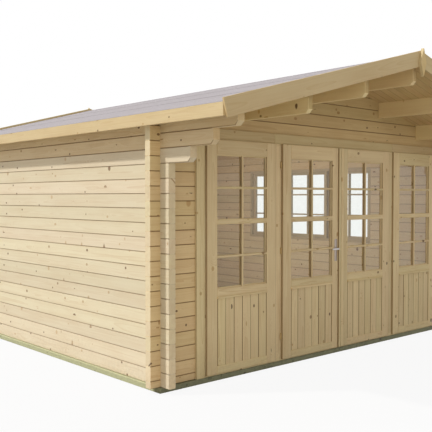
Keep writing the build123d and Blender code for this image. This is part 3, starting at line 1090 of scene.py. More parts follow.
@dataclass
class LogWalls:
    """The stacked log walls, with crossed corners, corbels and gables."""

    planes: Planes
    profile: LogProfile = field(default_factory=LogProfile)
    corbel_tip: float = 0.030
    least_row: float = 0.002  # a row thinner than this joins its neighbour
    gable_drop: float = 0.012  # gable's peak under the ridge of the boards

    def add(self, piece: Piece, wall: WallLine, stations: Sequence[Station],
            rise: float = 0.0) -> None:
        """Add one log.

        Args:
            piece: The piece that it belongs to.
            wall: The wall's line.
            stations: Its sections in order along the run.
            rise: Slope of its top towards the inner face.
        """
        profile = self.profile
        rings = [[Vector((cut.run(height), height, wall.at(depth / profile.thickness)))
                  for height, depth in profile.section(cut, rise)] for cut in stations]
        ends: list[tuple[Ring, Ring]] = []
        for points, way in ((rings[0], 1), (rings[-1], -1)):
            small = shrunk([(p.y, p.z) for p in points], profile.ease)
            ends.append(([Vector((p.x, *pair)) for p, pair in zip(points, small)],
                         [Vector((p.x + way * profile.ease, p.y, p.z)) for p in points]))
        (first, start), (last, end) = ends
        piece.loft(wall.bench, [first, start, *rings[1:-1], end, last], profile.parts)

    def side_log(self, piece: Piece, side: int, low: float, high: float, start: float,
                 tip: float = 0.0, rise: float = 0.0) -> None:
        """Add a side log with its corner notches, parted or cut back at the windows.

        Args:
            piece: The piece that it belongs to.
            side: -1 on the left and 1 on the right.
            low: Underside of the log.
            high: Top of the log.
            start: Its front end.
            tip: Cut under the front end of a corbel.
            rise: Slope of an eave log's top.
        """
        planes = self.planes
        wall = WallLine(ALONG_Y, side * planes.inner, side * planes.outer)
        quarter = self.profile.height / 4
        row = Log(low, high, (low + quarter, high if rise else high - quarter),
                  self.profile.bevel)
        head = [row.full(start)]
        if tip:
            head = [Station(start, low + tip, high, row.notch_bevel), row.full(start + tip)]
        head += row.notch(planes.front, planes.front_inner)
        tail = [*row.notch(planes.back_inner, planes.back), row.full(planes.end_back)]
        hole = Hole.read()
        if side < 0 or high <= hole.low or low >= hole.high:
            self.add(piece, wall, head + tail, rise)
        elif low >= hole.low and high <= hole.high:
            self.add(piece, wall, [*head, row.full(hole.start)])
            self.add(piece, wall, [row.full(hole.end), *tail])
        else:
            left = (low, hole.low) if low < hole.low else (hole.high, high)
            cut = replace(row, kept=left).notch(hole.start, hole.end)
            self.add(piece, wall, head + cut + tail)

    def side_walls(self) -> None:
        """Build the lower rows of both side walls."""
        step = self.profile.height
        for side, name in ((-1, "left_wall"), (1, "right_wall")):
            piece = Piece(f"{name}_logs", 11 + side)
            low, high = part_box(name)
            for index in range(round((high.z - low.z) / step)):
                base = low.z + index * step
                self.side_log(piece, side, base, base + step, self.planes.end_front)
            piece.finish(LOG_WOOD, [name])

    def corbels(self) -> None:
        """Build the three reaching top logs of both side walls."""
        for order, name in enumerate(("lower_corbel_logs", "upper_corbel_logs", "eave_logs")):
            piece = Piece(f"{name}_pair", 21 + order)
            low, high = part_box(name)
            eave = name == "eave_logs"
            for side in (-1, 1):
                self.side_log(piece, side, low.z, self.planes.wall_top if eave else high.z,
                              low.y, self.corbel_tip, SLOPE if eave else 0.0)
            # painted shade on the upper corbels and eave logs; the sunlit lower corbel keeps the
            # wall's colour
            piece.finish(SHADED_CORBEL_WOOD if order else LOG_WOOD, [name])

    def rows(self, base: float, top: float) -> list[Log]:
        """Front or back logs between two heights, half a row lower than the side logs.

        Args:
            base: Underside of the lowest.
            top: Top of the highest.

        Returns:
            The logs; a low one keeps its foot where a side log crosses it.
        """
        step, quarter = self.profile.height, self.profile.height / 4
        edges = [base]
        edge = self.planes.base + step / 2
        while edge < top - self.least_row:
            if edge > base + self.least_row:
                edges.append(edge)
            edge += step
        return [Log(low, high, (low if high - low < 3 * quarter else low + quarter,
                                high - quarter), self.profile.bevel)
                for low, high in zip(edges, [*edges[1:], top])]

    def front_ends(self) -> None:
        """Build the short front logs between the corners and the doorway."""
        planes = self.planes
        piece = Piece("front_wall_end_logs", 31)
        wall = WallLine(ALONG_X, planes.front_inner, planes.front)
        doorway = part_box("door_frame_posts")[1].x + FIT
        for row in self.rows(planes.base, planes.gable_base):
            for start, notch, end in (
                    (-planes.end_x, (-planes.outer, -planes.inner), -doorway),
                    (doorway, (planes.inner, planes.outer), planes.end_x)):
                self.add(piece, wall, [row.full(start), *row.notch(*notch), row.full(end)])
        piece.finish(FRONT_SHADE_AND_SUN_WOOD, ["front_wall_ends"])

    def back_wall(self) -> None:
        """Build the back wall up to the eaves."""
        planes = self.planes
        piece = Piece("back_wall_logs", 41)
        wall = WallLine(ALONG_X, planes.back_inner, planes.back)
        for row in self.rows(planes.base, planes.gable_base):
            self.add(piece, wall, [
                row.full(-planes.end_x), *row.notch(-planes.outer, -planes.inner),
                *row.notch(planes.inner, planes.outer), row.full(planes.end_x)])
        piece.finish(LOG_WOOD, ["back_wall"])

    def gable(self, name: str, wall: WallLine, seed: int) -> None:
        """Build the logs from the head of the doorway up to the roof.

        Args:
            name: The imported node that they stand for.
            wall: The wall's line.
            seed: Start of the draws for their grain.
        """
        planes = self.planes
        piece = Piece(f"{name}_logs", seed)

        def reach(height: float) -> float:
            """Half length of the gable under the roof at a height."""
            return planes.outer + (planes.wall_top - height) / SLOPE

        for row in self.rows(planes.gable_base, planes.underside() - self.gable_drop):
            if reach(row.low) < planes.inner:
                stations = [row.full(lambda height: -reach(height)), row.full(reach)]
            else:
                foot = replace(row, high=planes.underside(planes.inner))
                stations = [foot.full(-planes.inner), row.full(-reach(row.high)),
                            row.full(reach(row.high)), foot.full(planes.inner)]
            self.add(piece, wall, stations)
        piece.finish(SHADED_GABLE_WOOD, [name])

    def build(self) -> None:
        """Build every log of the cabin."""
        planes = self.planes
        self.side_walls()
        self.corbels()
        self.front_ends()
        self.back_wall()
        self.gable("front_gable", WallLine(ALONG_X, planes.front_inner, planes.front), 51)
        self.gable("back_gable", WallLine(ALONG_X, planes.back_inner, planes.back), 52)


# ---------- base and floor
@dataclass
class Base:
    """Treated bearers and joists on the ground, and the board floor on them."""

    bearer_width: float = 0.095
    joist_width: float = 0.045
    joist_count: int = 6
    ease: float = 0.003
    board_width: float = 0.096
    board_ease: float = 0.0014
    board_gap: float = 0.0003

    def timbers(self, name: str, seed: int, node: str, along: int, count: int, width: float,
                finish: Finish) -> None:
        """Build a set of evenly spaced timbers.

        Args:
            name: The piece's name.
            seed: Start of the draws for their grain.
            node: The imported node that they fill.
            along: 0 where they run along X, 1 where along Y.
            count: How many there are.
            width: Width of each.
            finish: Their finish.
        """
        low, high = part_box(node)
        piece = Piece(name, seed)
        first, last = low[1 - along], high[1 - along] - width
        for index in range(count):
            edge = first + (last - first) * index / (count - 1)
            piece.plank((ALONG_X, ALONG_Y)[along], (low[along], high[along]), (low.z, high.z),
                        (edge, edge + width), self.ease)
        piece.finish(finish, [node])

    def floor(self) -> None:
        """Build the floor boards, which run across the joists."""
        low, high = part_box("floor")
        piece = Piece("floor_boards", 64, Heart.FAR)
        count = round((high.y - low.y) / self.board_width)
        width = (high.y - low.y) / count
        for index in range(count):
            edge = low.y + index * width
            piece.plank(ALONG_X, (low.x, high.x), (low.z, high.z),
                        (edge + self.board_gap, edge + width - self.board_gap), self.board_ease)
        piece.finish(BOARD_WOOD, ["floor"])

    def build(self) -> None:
        """Build the base and the floor."""
        self.timbers("front_and_back_bearers", 61, "cross_bearers", 0, 2, self.bearer_width,
                     SHADED_TREATED_WOOD)
        self.timbers("side_bearer_pair", 62, "side_bearers", 1, 2, self.bearer_width,
                     SUNLIT_SIDE_TREATED)
        self.timbers("joists", 63, "floor_joists", 1, self.joist_count, self.joist_width,
                     SHADED_TREATED_WOOD)
        self.floor()


# ---------- roof
def dress(name: str, finish: Finish) -> None:
    """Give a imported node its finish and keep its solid.

    Args:
        name: The node.
        finish: Its finish.
    """
    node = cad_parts[name]
    for slot in node.material_slots:
        slot.material = finish.material()
    log.info("%s: dressed as %s", name, finish.name)


@dataclass
class Roof:
    """Purlins, roof boards, felt, fascias, barge boards and finials."""

    planes: Planes
    board_width: float = 0.0877
    board: float = 0.019
    board_gap: float = 0.0003
    board_end: float = 0.0008
    groove: float = 0.004
    covering: float = 0.004
    sheet: float = 0.0019
    felt_gap: float = 0.0001
    felt_strips: int = 3
    felt_steps: int = 24  # stations along a strip of felt
    felt_start: float = 0.004  # uppermost strip's edge beside the ridge
    lap: float = 0.08
    lap_ramp: float = 0.02  # run over which a strip climbs onto the next one
    lap_wave: float = 0.0025
    cap_end: float = 0.0003
    fascia: float = 0.020
    barge_height: float = 0.140
    barge_lip: float = 0.025
    finial: float = 0.030
    finial_ease: float = 0.003
    purlin_tip: float = 0.030
    purlin_gap: float = 0.0006
    ease: float = 0.002

    cap_fold = ((0.0, 0.0006), (0.012, 0.0002), (0.14, 0.0))  # run from the ridge, and drop

    def __post_init__(self) -> None:
        """Place the ridge of the boards' underside, and measure the layers over it."""
        self.ridge = Vector((0.0, 0.0, self.planes.underside()))
        self.deck = (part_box("roof_insulation")[1].z - self.ridge.z) * COSINE

    def down(self, side: int) -> Vector:
        """Direction down one slope; the side is -1 on the left and 1 on the right."""
        return Vector((side * COSINE, 0.0, -SINE))

    def square(self, side: int) -> Vector:
        """Direction square to one slope."""
        return Vector((side * SINE, 0.0, COSINE))

    def boards(self) -> None:
        """Build the roof boards, whose V joints show from below, painted with groove shade."""
        parts = [Part.FACE, Part.BEVEL, Part.SLIT, Part.FACE, Part.SLIT, Part.BEVEL]
        for side, name in ((-1, "left_roof_boards"), (1, "right_roof_boards")):
            low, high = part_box(name)
            piece = Piece(f"{name}_run", 71 + side, Heart.FAR)
            bench = Bench(self.down(side), Y_AXIS, self.square(side), self.ridge)
            count = round((high.y - low.y) / self.board_width)
            width = (high.y - low.y) / count
            end = max(high.x, -low.x) / COSINE
            for index in range(count):
                y0 = low.y + index * width + self.board_gap
                y1 = y0 + width - 2 * self.board_gap
                section = [(y0 + self.groove, 0.0), (y1 - self.groove, 0.0), (y1, self.groove),
                           (y1, self.board), (y0, self.board), (y0, self.groove)]
                piece.extrude(bench, section, (0.0, end), parts, self.board_end,
                              (0.0, -SLOPE))
            piece.finish(SHADED_SOFFIT_WOOD, [name])

    def felt_strip(self, piece: Piece, bench: Bench, reach: Pair, laps: bool,
                   span: Pair) -> None:
        """Add one roll width of felt.

        Args:
            piece: The piece that it belongs to.
            bench: Bench that runs along the ridge, with its width down the slope.
            reach: Upper and lower edge of the strip down the slope.
            laps: Whether its lower edge lies over another strip.
            span: Its two ends.
        """
        base = self.deck + self.felt_gap
        lift = self.covering - self.sheet if laps else 0.0
        rings: list[Ring] = []
        for index in range(self.felt_steps + 1):
            run = span[0] + (span[1] - span[0]) * index / self.felt_steps
            edge = reach[1] + (piece.random.uniform(-self.lap_wave, 0.0) if laps else 0.0)
            line = [(reach[0], base), (edge - self.lap - self.lap_ramp, base),
                    (edge - self.lap, base + lift), (edge, base + lift)]
            rings.append(ring(run, line + [(down, up + self.sheet)
                                           for down, up in reversed(line)]))
        piece.loft(bench, rings)

    def felt(self) -> None:
        """Build the felt in lapped strips, with a cap over the ridge."""
        layers = self.deck + self.covering
        for side, name in ((-1, "left_roof_covering"), (1, "right_roof_covering")):
            low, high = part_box(name)
            piece = Piece(f"{name}_felt", 81 + side)
            bench = Bench(Y_AXIS, self.down(side), self.square(side), self.ridge)
            total = (max(high.x, -low.x) - layers * SINE) / COSINE
            width = (total + (self.felt_strips - 1) * self.lap) / self.felt_strips
            for index in range(self.felt_strips):
                upper = total - width - index * (width - self.lap)
                self.felt_strip(piece, bench, (max(upper, self.felt_start), upper + width),
                                index > 0, (low.y, high.y))
            self.felt_cap(piece, side, (low.y, high.y))
            piece.finish(FELT, [name])

    def felt_cap(self, piece: Piece, side: int, span: Pair) -> None:
        """Add one half of the ridge cap.

        Args:
            piece: The piece that it belongs to.
            side: -1 on the left and 1 on the right.
            span: Its two ends.
        """
        top = self.ridge.z + (self.deck + self.covering) / COSINE
        line = [(side * run, top - run * SLOPE - drop) for run, drop in self.cap_fold]
        under = [(x, z - self.sheet / COSINE) for x, z in reversed(line)]
        piece.extrude(FLAT_Y, line + under, span, ease=self.cap_end)

    def fascias(self) -> None:
        """Build the fascias along both eaves, whose tops follow the slope."""
        low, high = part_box("eave_fascias")
        piece = Piece("eave_fascia_pair", 91, Heart.FAR)
        for side in (-1, 1):
            outer, inner = side * high.x, side * (high.x - self.fascia)
            section = eased([(low.z, outer), (high.z - self.fascia * SLOPE, outer),
                             (high.z, inner), (low.z, inner)], self.ease)
            piece.extrude(ALONG_Y, section, (low.y, high.y), EASED, self.ease)
        piece.finish(TRIM_WOOD, ["eave_fascias"])

    def barges(self) -> None:
        """Build the four barge boards, mitred at the ridge."""
        top = self.deck + self.covering + self.barge_lip * COSINE
        mitre = (-SLOPE, 0.0)
        for order, (place, side) in enumerate((p, s) for p in ("front", "back") for s in (-1, 1)):
            name = f"{place}_{'left' if side < 0 else 'right'}_barge_board"
            low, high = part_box(name)
            end = (max(high.x, -low.x) - top * SINE) / COSINE
            piece = Piece(f"{name}_timber", 95 + order, Heart.FAR)
            section = eased_box((top - self.barge_height, top), (low.y, high.y), self.ease)
            small = shrunk(section, self.ease)
            piece.loft(Bench(self.down(side), self.square(side), Y_AXIS, self.ridge), [
                ring(0.0, small, mitre), ring(self.ease, section, mitre),
                ring(end - self.ease, section), ring(end, small)], EASED)
            piece.finish(TRIM_WOOD, [name])

    def finials(self) -> None:
        """Build the lozenge over each barge joint."""
        low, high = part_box("finials")
        middle = (low.z + high.z) / 2
        section = eased([(0.0, high.z), (high.x, middle), (0.0, low.z), (low.x, middle)],
                        self.finial_ease)
        piece = Piece("finial_lozenges", 101, Heart.FAR)
        for y0 in (low.y, high.y - self.finial):
            piece.extrude(FLAT_Y, section, (y0, y0 + self.finial), EASED, self.finial_ease)
        piece.finish(TRIM_WOOD, ["finials"])

    def purlins(self) -> None:
        """Build the purlins, bevelled under their front ends."""
        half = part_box("ridge_purlin")[1].x
        for order, name in enumerate(("ridge_purlin", "upper_purlins", "lower_purlins")):
            low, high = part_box(name)
            piece = Piece(f"{name}_timber", 105 + order)
            for x in ((half - high.x, high.x - half) if order else (0.0,)):
                self.purlin(piece, x, half, (low.y, high.y), low.z)
            piece.finish(PURLIN_PAINTED_LIGHT_WOOD, [name])

    def purlin(self, piece: Piece, x: float, half: float, span: Pair, base: float) -> None:
        """Add one purlin, whose top follows the roof.

        Args:
            piece: The piece that it belongs to.
            x: Its middle.
            half: Half its thickness.
            span: Its two ends.
            base: Its underside.
        """
        ease, tip = self.ease, self.purlin_tip
        top = [(edge, self.planes.underside(edge) - self.purlin_gap)
               for edge in (x + half, x, x - half)]

        def section(floor: float) -> Section:
            """Section above a height."""
            return [(x - half + ease, floor), (x + half - ease, floor), (x + half, floor + ease),
                    *top, (x - half, floor + ease)]

        parts = [Part.FACE, Part.ARRIS, *[Part.FACE] * 4, Part.ARRIS]
        piece.loft(FLAT_Y, [
            ring(span[0], shrunk(section(base + tip), ease)),
            ring(span[0] + ease, section(base + tip - ease)), ring(span[0] + tip, section(base)),
            ring(span[1] - ease, section(base)), ring(span[1], shrunk(section(base), ease))],
            parts)

    def build(self) -> None:
        """Build the whole roof."""
        self.purlins()
        self.boards()
        dress("roof_insulation", FIBRE)
        self.felt()
        self.fascias()
        self.barges()
        self.finials()


# ---------- door front
class Lap(Enum):
    """Edges of a sash that lap over the frame, as (left, right)."""

    BOTH = (True, True)
    LEFT = (True, False)
    RIGHT = (False, True)


@dataclass
class GlazedSash:
    """Sash with a barred pane above and upright boards below, all of one pattern."""

    piece: Piece
    left: float
    right: float
    front: float
    lap: Lap
    clearance: float
    base: float
    top: float
    log_base: float
    stile: float = 0.120
    top_rail: float = 0.127
    middle_rail: float = 0.064
    bottom_rail: float = 0.065
    rail_end: float = 0.0007
    pane_bottom: float = 0.746
    lip: float = 0.018
    core: float = 0.028
    lap_width: float = 0.014
    sill: float = 0.029
    recess: float = 0.007
    ledge_height: float = 0.022
    ledge_proud: float = 0.010
    ledge_weathering: float = 0.45  # share of its height that slopes
    ledge_seat: float = 0.004
    ledge_ease: float = 0.002
    ledge_end: float = 0.0008
    glass_setback: float = 0.022
    glass: float = 0.004
    bead: float = 0.009
    boards: int = 6
    board_gap: float = 0.0004
    board_end: float = 0.0006
    joint: Pair = (0.0014, 0.0052)
    stile_joints: Pair = (0.0125, 0.005)
    joint_depth: float = 0.0035
    mould: float = 0.0035
    edge: float = 0.005
    edge_depth: float = 0.002
    thin_bar: float = 0.021
    thick_bar: float = 0.047
    bar_heights: Triple = (1.020, 1.320, 1.613)
    bar_setbacks: Pair = (0.001, 0.004)  # of its face from the sash's front and back
    bar_chamfer: Pair = (0.0045, 0.006)  # across and deep
    bar_end: float = 0.0004
    tip: float = 0.0015
    gap: float = 0.0002

    def __post_init__(self) -> None:
        """Work out the pane's edges, and the depths of the lip, the back and the glass."""
        self.opening = (self.left + self.stile, self.right - self.stile)
        self.pane = (self.log_base + self.pane_bottom, self.top - self.top_rail)
        self.lip_back = self.front + self.lip
        self.back = self.lip_back + self.core
        self.glazing = (self.front + self.glass_setback,
                        self.front + self.glass_setback + self.glass)

    def rebated(self, edge: float, inner: float, step: float) -> Section:
        """Section of a stile or rail with its lip over the frame.

        Args:
            edge: Outer edge of the lip.
            inner: Edge at the pane.
            step: How far the core stays back from the lip's edge.

        Returns:
            Eight points as (across, depth).
        """
        way = 1.0 if inner > edge else -1.0
        core = edge + way * step
        return [(edge, self.front + self.edge_depth), (edge + way * self.edge, self.front),
                (inner - way * self.mould, self.front), (inner, self.front + self.mould),
                (inner, self.back), (core, self.back), (core, self.lip_back),
                (edge, self.lip_back)]

    def stiles(self) -> None:
        """Add both stiles, whose core stays clear of the sill and head."""
        # the lip's eased outer edge, its outer side and the side at the opening are painted with
        # shade, for dark lines at the gaps
        parts = [Part.BEVEL, Part.FACE, Part.ARRIS, Part.BEVEL, *[Part.FACE] * 3, Part.BEVEL]
        foot = self.log_base + self.sill + self.clearance
        head = self.top - self.lap_width - self.clearance
        for edge, inner, laps in zip((self.left, self.right), self.opening, self.lap.value):
            full = self.rebated(edge, inner, self.lap_width + self.clearance if laps
                                else self.gap)
            thin = [(across, min(depth, self.lip_back + self.gap)) for across, depth in full]
            small = shrunk(thin, self.tip)
            self.piece.loft(UPRIGHT, [
                ring(self.base, small), ring(self.base + self.tip, thin), ring(foot, thin),
                ring(foot, full), ring(head, full), ring(head, thin),
                ring(self.top - self.tip, thin), ring(self.top, small)], parts)

    def rails(self) -> None:
        """Add the rails between the stiles."""
        parts = [Part.ARRIS, Part.FACE, Part.ARRIS, *[Part.FACE] * 5]
        span = (self.opening[0] + self.gap, self.opening[1] - self.gap)
        foot = self.log_base + self.sill + self.clearance - self.base
        pane = self.pane
        for section in (self.rebated(self.top, pane[1], self.lap_width + self.clearance),
                        self.rebated(self.base, self.base + self.bottom_rail, foot)):
            self.piece.extrude(ALONG_X, section, span, parts, self.rail_end)
        middle = eased_box((pane[0] - self.middle_rail, pane[0]), (self.front, self.back),
                           self.mould)
        self.piece.extrude(ALONG_X, middle, span, EASED, self.rail_end)

    def ledge(self) -> None:
        """Add the weathered ledge strip over the boards."""
        top = self.pane[0] - self.middle_rail
        low, nose, ease = top - self.ledge_height, self.front - self.ledge_proud, self.ledge_ease
        section = [(top, self.front + self.ledge_seat), (top, self.front),
                   (top - self.ledge_height * self.ledge_weathering, nose), (low + ease, nose),
                   (low, nose + ease), (low, self.front + self.recess + ease)]
        self.piece.extrude(ALONG_X, section, self.opening, ease=self.ledge_end)

    def panel(self) -> None:
        """Add the upright boards, with uneven V joints between neighbours and open ones beside the
        stiles, painted with groove shade."""
        start, end = self.opening
        width = (end - start) / self.boards
        front = self.front + self.recess
        seat = front + self.joint_depth
        span = (self.base + self.bottom_rail + self.gap,
                self.pane[0] - self.middle_rail - self.gap)
        parts = [Part.FACE, Part.SLIT, Part.SLIT] * 2
        joints = [self.stile_joints[0],
                  *(self.piece.random.uniform(*self.joint) for _ in range(self.boards - 1)),
                  self.stile_joints[1]]
        for index, (before, after) in enumerate(zip(joints, joints[1:])):
            x0 = start + index * width + self.board_gap
            x1 = x0 + width - 2 * self.board_gap
            section = [(x0 + before, front), (x1 - after, front), (x1, seat), (x1, self.back),
                       (x0, self.back), (x0, seat)]
            self.piece.extrude(UPRIGHT, section, span, parts, self.board_end)

    def bar(self, bench: Bench, span: Pair, middle: float, width: float) -> None:
        """Add a glazing bar in front of the glass and its twin behind it.

        Args:
            bench: Bench along the bar.
            span: Its two ends.
            middle: Its middle across the run.
            width: Its width.
        """
        half = width / 2
        low, high = middle - half, middle + half
        slope = min(self.bar_chamfer[0], half / 2)
        # painted shade on the upright bars' sides; the level bars' sides are left plain
        cheek = Part.BEVEL if bench is UPRIGHT else Part.FACE
        parts = [Part.FACE, Part.ARRIS, cheek, Part.FACE, cheek, Part.ARRIS]
        for face, seat, way in (
                (self.front + self.bar_setbacks[0], self.glazing[0] - self.gap, 1.0),
                (self.back - self.bar_setbacks[1], self.glazing[1] + self.gap, -1.0)):
            flank = face + way * self.bar_chamfer[1]
            section = [(low + slope, face), (high - slope, face), (high, flank), (high, seat),
                       (low, seat), (low, flank)]
            self.piece.extrude(bench, section, span, parts, self.bar_end)

    def bars(self) -> None:
        """Add the glazing bars: one thick and two thin ones across, one upright."""
        centre = sum(self.opening) / 2
        edge = self.pane[0]
        for height, width in zip(self.bar_heights, (self.thin_bar, self.thick_bar, self.thin_bar)):
            middle = self.log_base + height
            self.bar(ALONG_X, self.opening, middle, width)
            self.bar(UPRIGHT, (edge, middle - width / 2), centre, self.thin_bar)
            edge = middle + width / 2
        self.bar(UPRIGHT, (edge, self.pane[1]), centre, self.thin_bar)

    def beads(self) -> None:
        """Add the beads that hold the pane, on both sides of it."""
        front, back = self.glazing
        for depth in ((front - self.bead, front - self.gap), (back + self.gap, back + self.bead)):
            self.piece.border((ALONG_X, UPRIGHT), self.opening, self.pane, self.bead, depth)

    def build(self) -> None:
        """Add the whole sash."""
        self.stiles()
        self.rails()
        self.ledge()
        self.panel()
        self.beads()
        self.bars()


@dataclass
class DoorFront:
    """The pair of leaves, the fixed panels beside them, their frame and the trims."""

    planes: Planes
    clearance: float = 0.005
    panel_clearance: float = 0.001
    mullion: float = 0.084
    post: float = 0.050
    trim_joint: float = 0.001
    shadow_gap: float = 0.0015
    trim_edge: float = 0.004
    trim_ease: float = 0.0025
    astragal_width: float = 0.034
    astragal: float = 0.014
    astragal_ease: float = 0.002
    astragal_end: float = 0.003

    def __post_init__(self) -> None:
        """Read the places of the frame, the leaves and the panels."""
        self.leaf_low, self.leaf_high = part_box("left_door_leaf")
        self.post_low, self.post_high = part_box("door_frame_posts")
        self.face, self.rear = self.post_low.y, self.post_high.y
        self.leaf_edge = -self.leaf_low.x
        self.panel_start = self.leaf_edge + self.mullion
        self.panel_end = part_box("side_panels")[1].x

    def sash(self, piece: Piece, edges: Sequence[float], lip_back: float, lap: Lap,
             clearance: float) -> GlazedSash:
        """Add a sash of the common pattern.

        Args:
            piece: The piece that it belongs to.
            edges: Its left and right edge.
            lip_back: Rear of its lip.
            lap: Which edges lap over the frame.
            clearance: Room round its core.

        Returns:
            The sash.
        """
        sash = GlazedSash(piece, *edges, lip_back - GlazedSash.lip, lap, clearance, self.leaf_low.z,
                          self.leaf_high.z, self.planes.base)
        sash.build()
        return sash

    def panels(self) -> None:
        """Build the fixed panels."""
        piece = Piece("side_panel_sashes", 111, Heart.FAR)
        near, far = self.panel_start + self.shadow_gap, self.panel_end - self.shadow_gap
        for edges in ((-far, -near), (near, far)):
            self.sash(piece, edges, self.face, Lap.BOTH, self.panel_clearance)
        piece.finish(JOINERY_WOOD, ["side_panels"])

    def leaves(self) -> None:
        """Build the two leaves, each with its half of the cover strip."""
        # the cover strip's outer side and its eased edges there are painted with shade, for the
        # dark line beside it
        parts = [Part.ARRIS, Part.FACE, Part.BEVEL, Part.SLIT, Part.BEVEL, *[Part.FACE] * 3]
        for order, (name, side, lap) in enumerate((("left", -1, Lap.LEFT),
                                                   ("right", 1, Lap.RIGHT))):
            piece = Piece(f"{name}_leaf_joinery", 121 + order, Heart.FAR)
            meeting = -side * self.leaf_high.x
            sash = self.sash(piece, sorted((meeting, side * self.leaf_edge)),
                             self.face - self.clearance, lap, self.clearance)
            strip = eased_box((meeting, meeting + side * self.astragal_width),
                              (sash.front - self.astragal, sash.front - sash.gap),
                              self.astragal_ease)
            piece.extrude(UPRIGHT, strip, (sash.base, sash.top), parts, self.astragal_end)
            piece.finish(JOINERY_WOOD, [f"{name}_door_leaf"], f"{name}_leaf")

    def frame_timbers(self) -> None:
        """Build the head, the sill and the four posts of the frame."""
        front, wide, lap = self.planes.front, self.post_high.x, GlazedSash.lap_width
        for name, seed, node in (("door_head_frame", 131, "door_frame_head"),
                                 ("door_sill", 132, "door_frame_sill")):
            low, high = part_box(node)
            nose = low.z + lap if node == "door_frame_head" else high.z
            piece = Piece(name, seed, Heart.FAR)
            piece.plank(ALONG_X, (-wide, wide), (low.z, high.z), (front, self.rear))
            piece.plank(ALONG_X, (-self.panel_end, self.panel_end), (low.z, nose),
                        (self.face, front))
            piece.finish(JOINERY_WOOD, [node])
        posts = Piece("door_posts", 133, Heart.FAR)
        for side in (-1, 1):
            for edges, depth in (
                    ((wide - self.post, wide), (front, self.rear)),
                    ((wide - self.post, self.panel_end), (self.face, front)),
                    ((self.leaf_edge - lap, self.panel_start + lap), (self.face, self.rear))):
                posts.plank(UPRIGHT, (self.post_low.z, self.post_high.z),
                            sorted(side * edge for edge in edges), depth)
        posts.finish(JOINERY_WOOD, ["door_frame_posts"])

    def trims(self) -> None:
        """Build the casings beside the frame and the flat trims over it."""
        low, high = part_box("door_side_casings")
        piece = Piece("door_casing_boards", 141, Heart.FAR)
        start = self.panel_end + self.trim_joint + self.shadow_gap
        for edges in ((-high.x, -start), (start, high.x)):
            # the casing boards' eased edges are painted with shade, for dark lines at the joints
            piece.extrude(UPRIGHT, eased_box(edges, (low.y, high.y), self.trim_edge),
                          (low.z, high.z), [Part.BEVEL, Part.FACE] * 4)
        piece.finish(JOINERY_WOOD, ["door_side_casings"])
        low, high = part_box("door_head_trims")
        piece = Piece("door_head_trim_boards", 142, Heart.FAR)
        outer, inner = self.panel_start + self.trim_joint, self.panel_start - self.trim_joint
        for span in ((-high.x, -outer), (-inner, inner), (outer, high.x)):
            piece.plank(ALONG_X, span, (low.z, high.z), (low.y, high.y), self.trim_ease)
        piece.finish(TRIM_WOOD, ["door_head_trims"])

    def build(self) -> None:
        """Build the door front."""
        self.frame_timbers()
        self.trims()
        self.panels()
        self.leaves()


# ---------- windows
@dataclass
class SideWindows:
    """Three fixed sashes in one frame in the right wall, with a flat casing outside."""

    count: int = 3
    frame_width: float = 0.035
    stile: float = 0.045
    casing_width: float = 0.085
    casing_ease: float = 0.0025
    bar_width: float = 0.021
    bar_setbacks: Pair = (0.001, 0.002)  # of its face from the sash's outside and inside
    glass_setback: float = 0.022
    glass: float = 0.004
    gap: float = 0.0002
    ease: float = 0.003

    def frame_timbers(self) -> None:
        """Build the outer frame with its posts."""
        low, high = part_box("window_frame")
        piece = Piece("window_frame_timbers", 151, Heart.FAR)
        rim = self.frame_width - FIT
        depth = (low.x, high.x)
        for z0 in (low.z, high.z - rim):
            piece.plank(ALONG_Y, (low.y, high.y), (z0, z0 + rim), depth)
        step = (high.y - low.y - self.frame_width + 2 * FIT) / self.count
        for index in range(self.count + 1):
            y0 = low.y - FIT + index * step
            piece.plank(UPRIGHT_SIDE, (low.z + rim, high.z - rim),
                        (max(y0, low.y), min(y0 + self.frame_width, high.y)), depth)
        piece.finish(SHADED_WINDOW_WOOD, ["window_frame"])

    def bars(self, piece: Piece, across: Pair, rise: Pair, depth: Pair) -> None:
        """Add two bars across a pane and an upright one, on one side of the glass.

        Args:
            piece: The piece that they belong to.
            across: The pane's two sides.
            rise: Its foot and head.
            depth: The bars' two faces.
        """
        half, third = self.bar_width / 2, (rise[1] - rise[0]) / 3
        ends = [rise[0]]
        for height in (rise[0] + third, rise[0] + 2 * third):
            ends += [height - half, height + half]
            piece.plank(ALONG_Y, across, (height - half, height + half), depth, self.ease)
        middle = sum(across) / 2
        for span in zip(ends[::2], [*ends[1::2], rise[1]]):
            piece.plank(UPRIGHT_SIDE, span, (middle - half, middle + half), depth, self.ease)

    def sashes(self) -> None:
        """Build the sashes with their glazing bars."""
        low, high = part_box("window_sashes")
        piece = Piece("window_sash_joinery", 152, Heart.FAR)
        step = (high.y - low.y + self.frame_width) / self.count
        pane = high.x - self.glass_setback
        for index in range(self.count):
            y0 = low.y + index * step
            y1 = y0 + step - self.frame_width
            piece.border((UPRIGHT_SIDE, ALONG_Y), (low.z, high.z), (y0, y1), self.stile,
                         (low.x, high.x), self.ease)
            for depth in ((pane + self.gap, high.x - self.bar_setbacks[0]),
                          (low.x + self.bar_setbacks[1], pane - self.glass - self.gap)):
                self.bars(piece, (y0 + self.stile, y1 - self.stile),
                          (low.z + self.stile, high.z - self.stile), depth)
        piece.finish(SHADED_WINDOW_WOOD, ["window_sashes"])

    def casing(self) -> None:
        """Build the flat trim round the frame."""
        low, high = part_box("window_casing")
        piece = Piece("window_casing_boards", 153, Heart.FAR)
        piece.border((ALONG_Y, UPRIGHT_SIDE), (low.y, high.y), (low.z, high.z),
                     self.casing_width, (low.x, high.x), self.casing_ease)
        piece.finish(TRIM_WOOD, ["window_casing"])

    def build(self) -> None:
        """Build the windows."""
        self.frame_timbers()
        self.sashes()
        self.casing()


@dataclass
class Panes:
    """Panes of the doors, panels and windows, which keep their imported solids."""

    nodes: tuple[str, ...] = ("left_door_glass", "right_door_glass", "side_panel_glass",
                              "window_glass")

    def build(self) -> None:
        """Dress every pane."""
        for name in self.nodes:
            dress(name, GLASS)


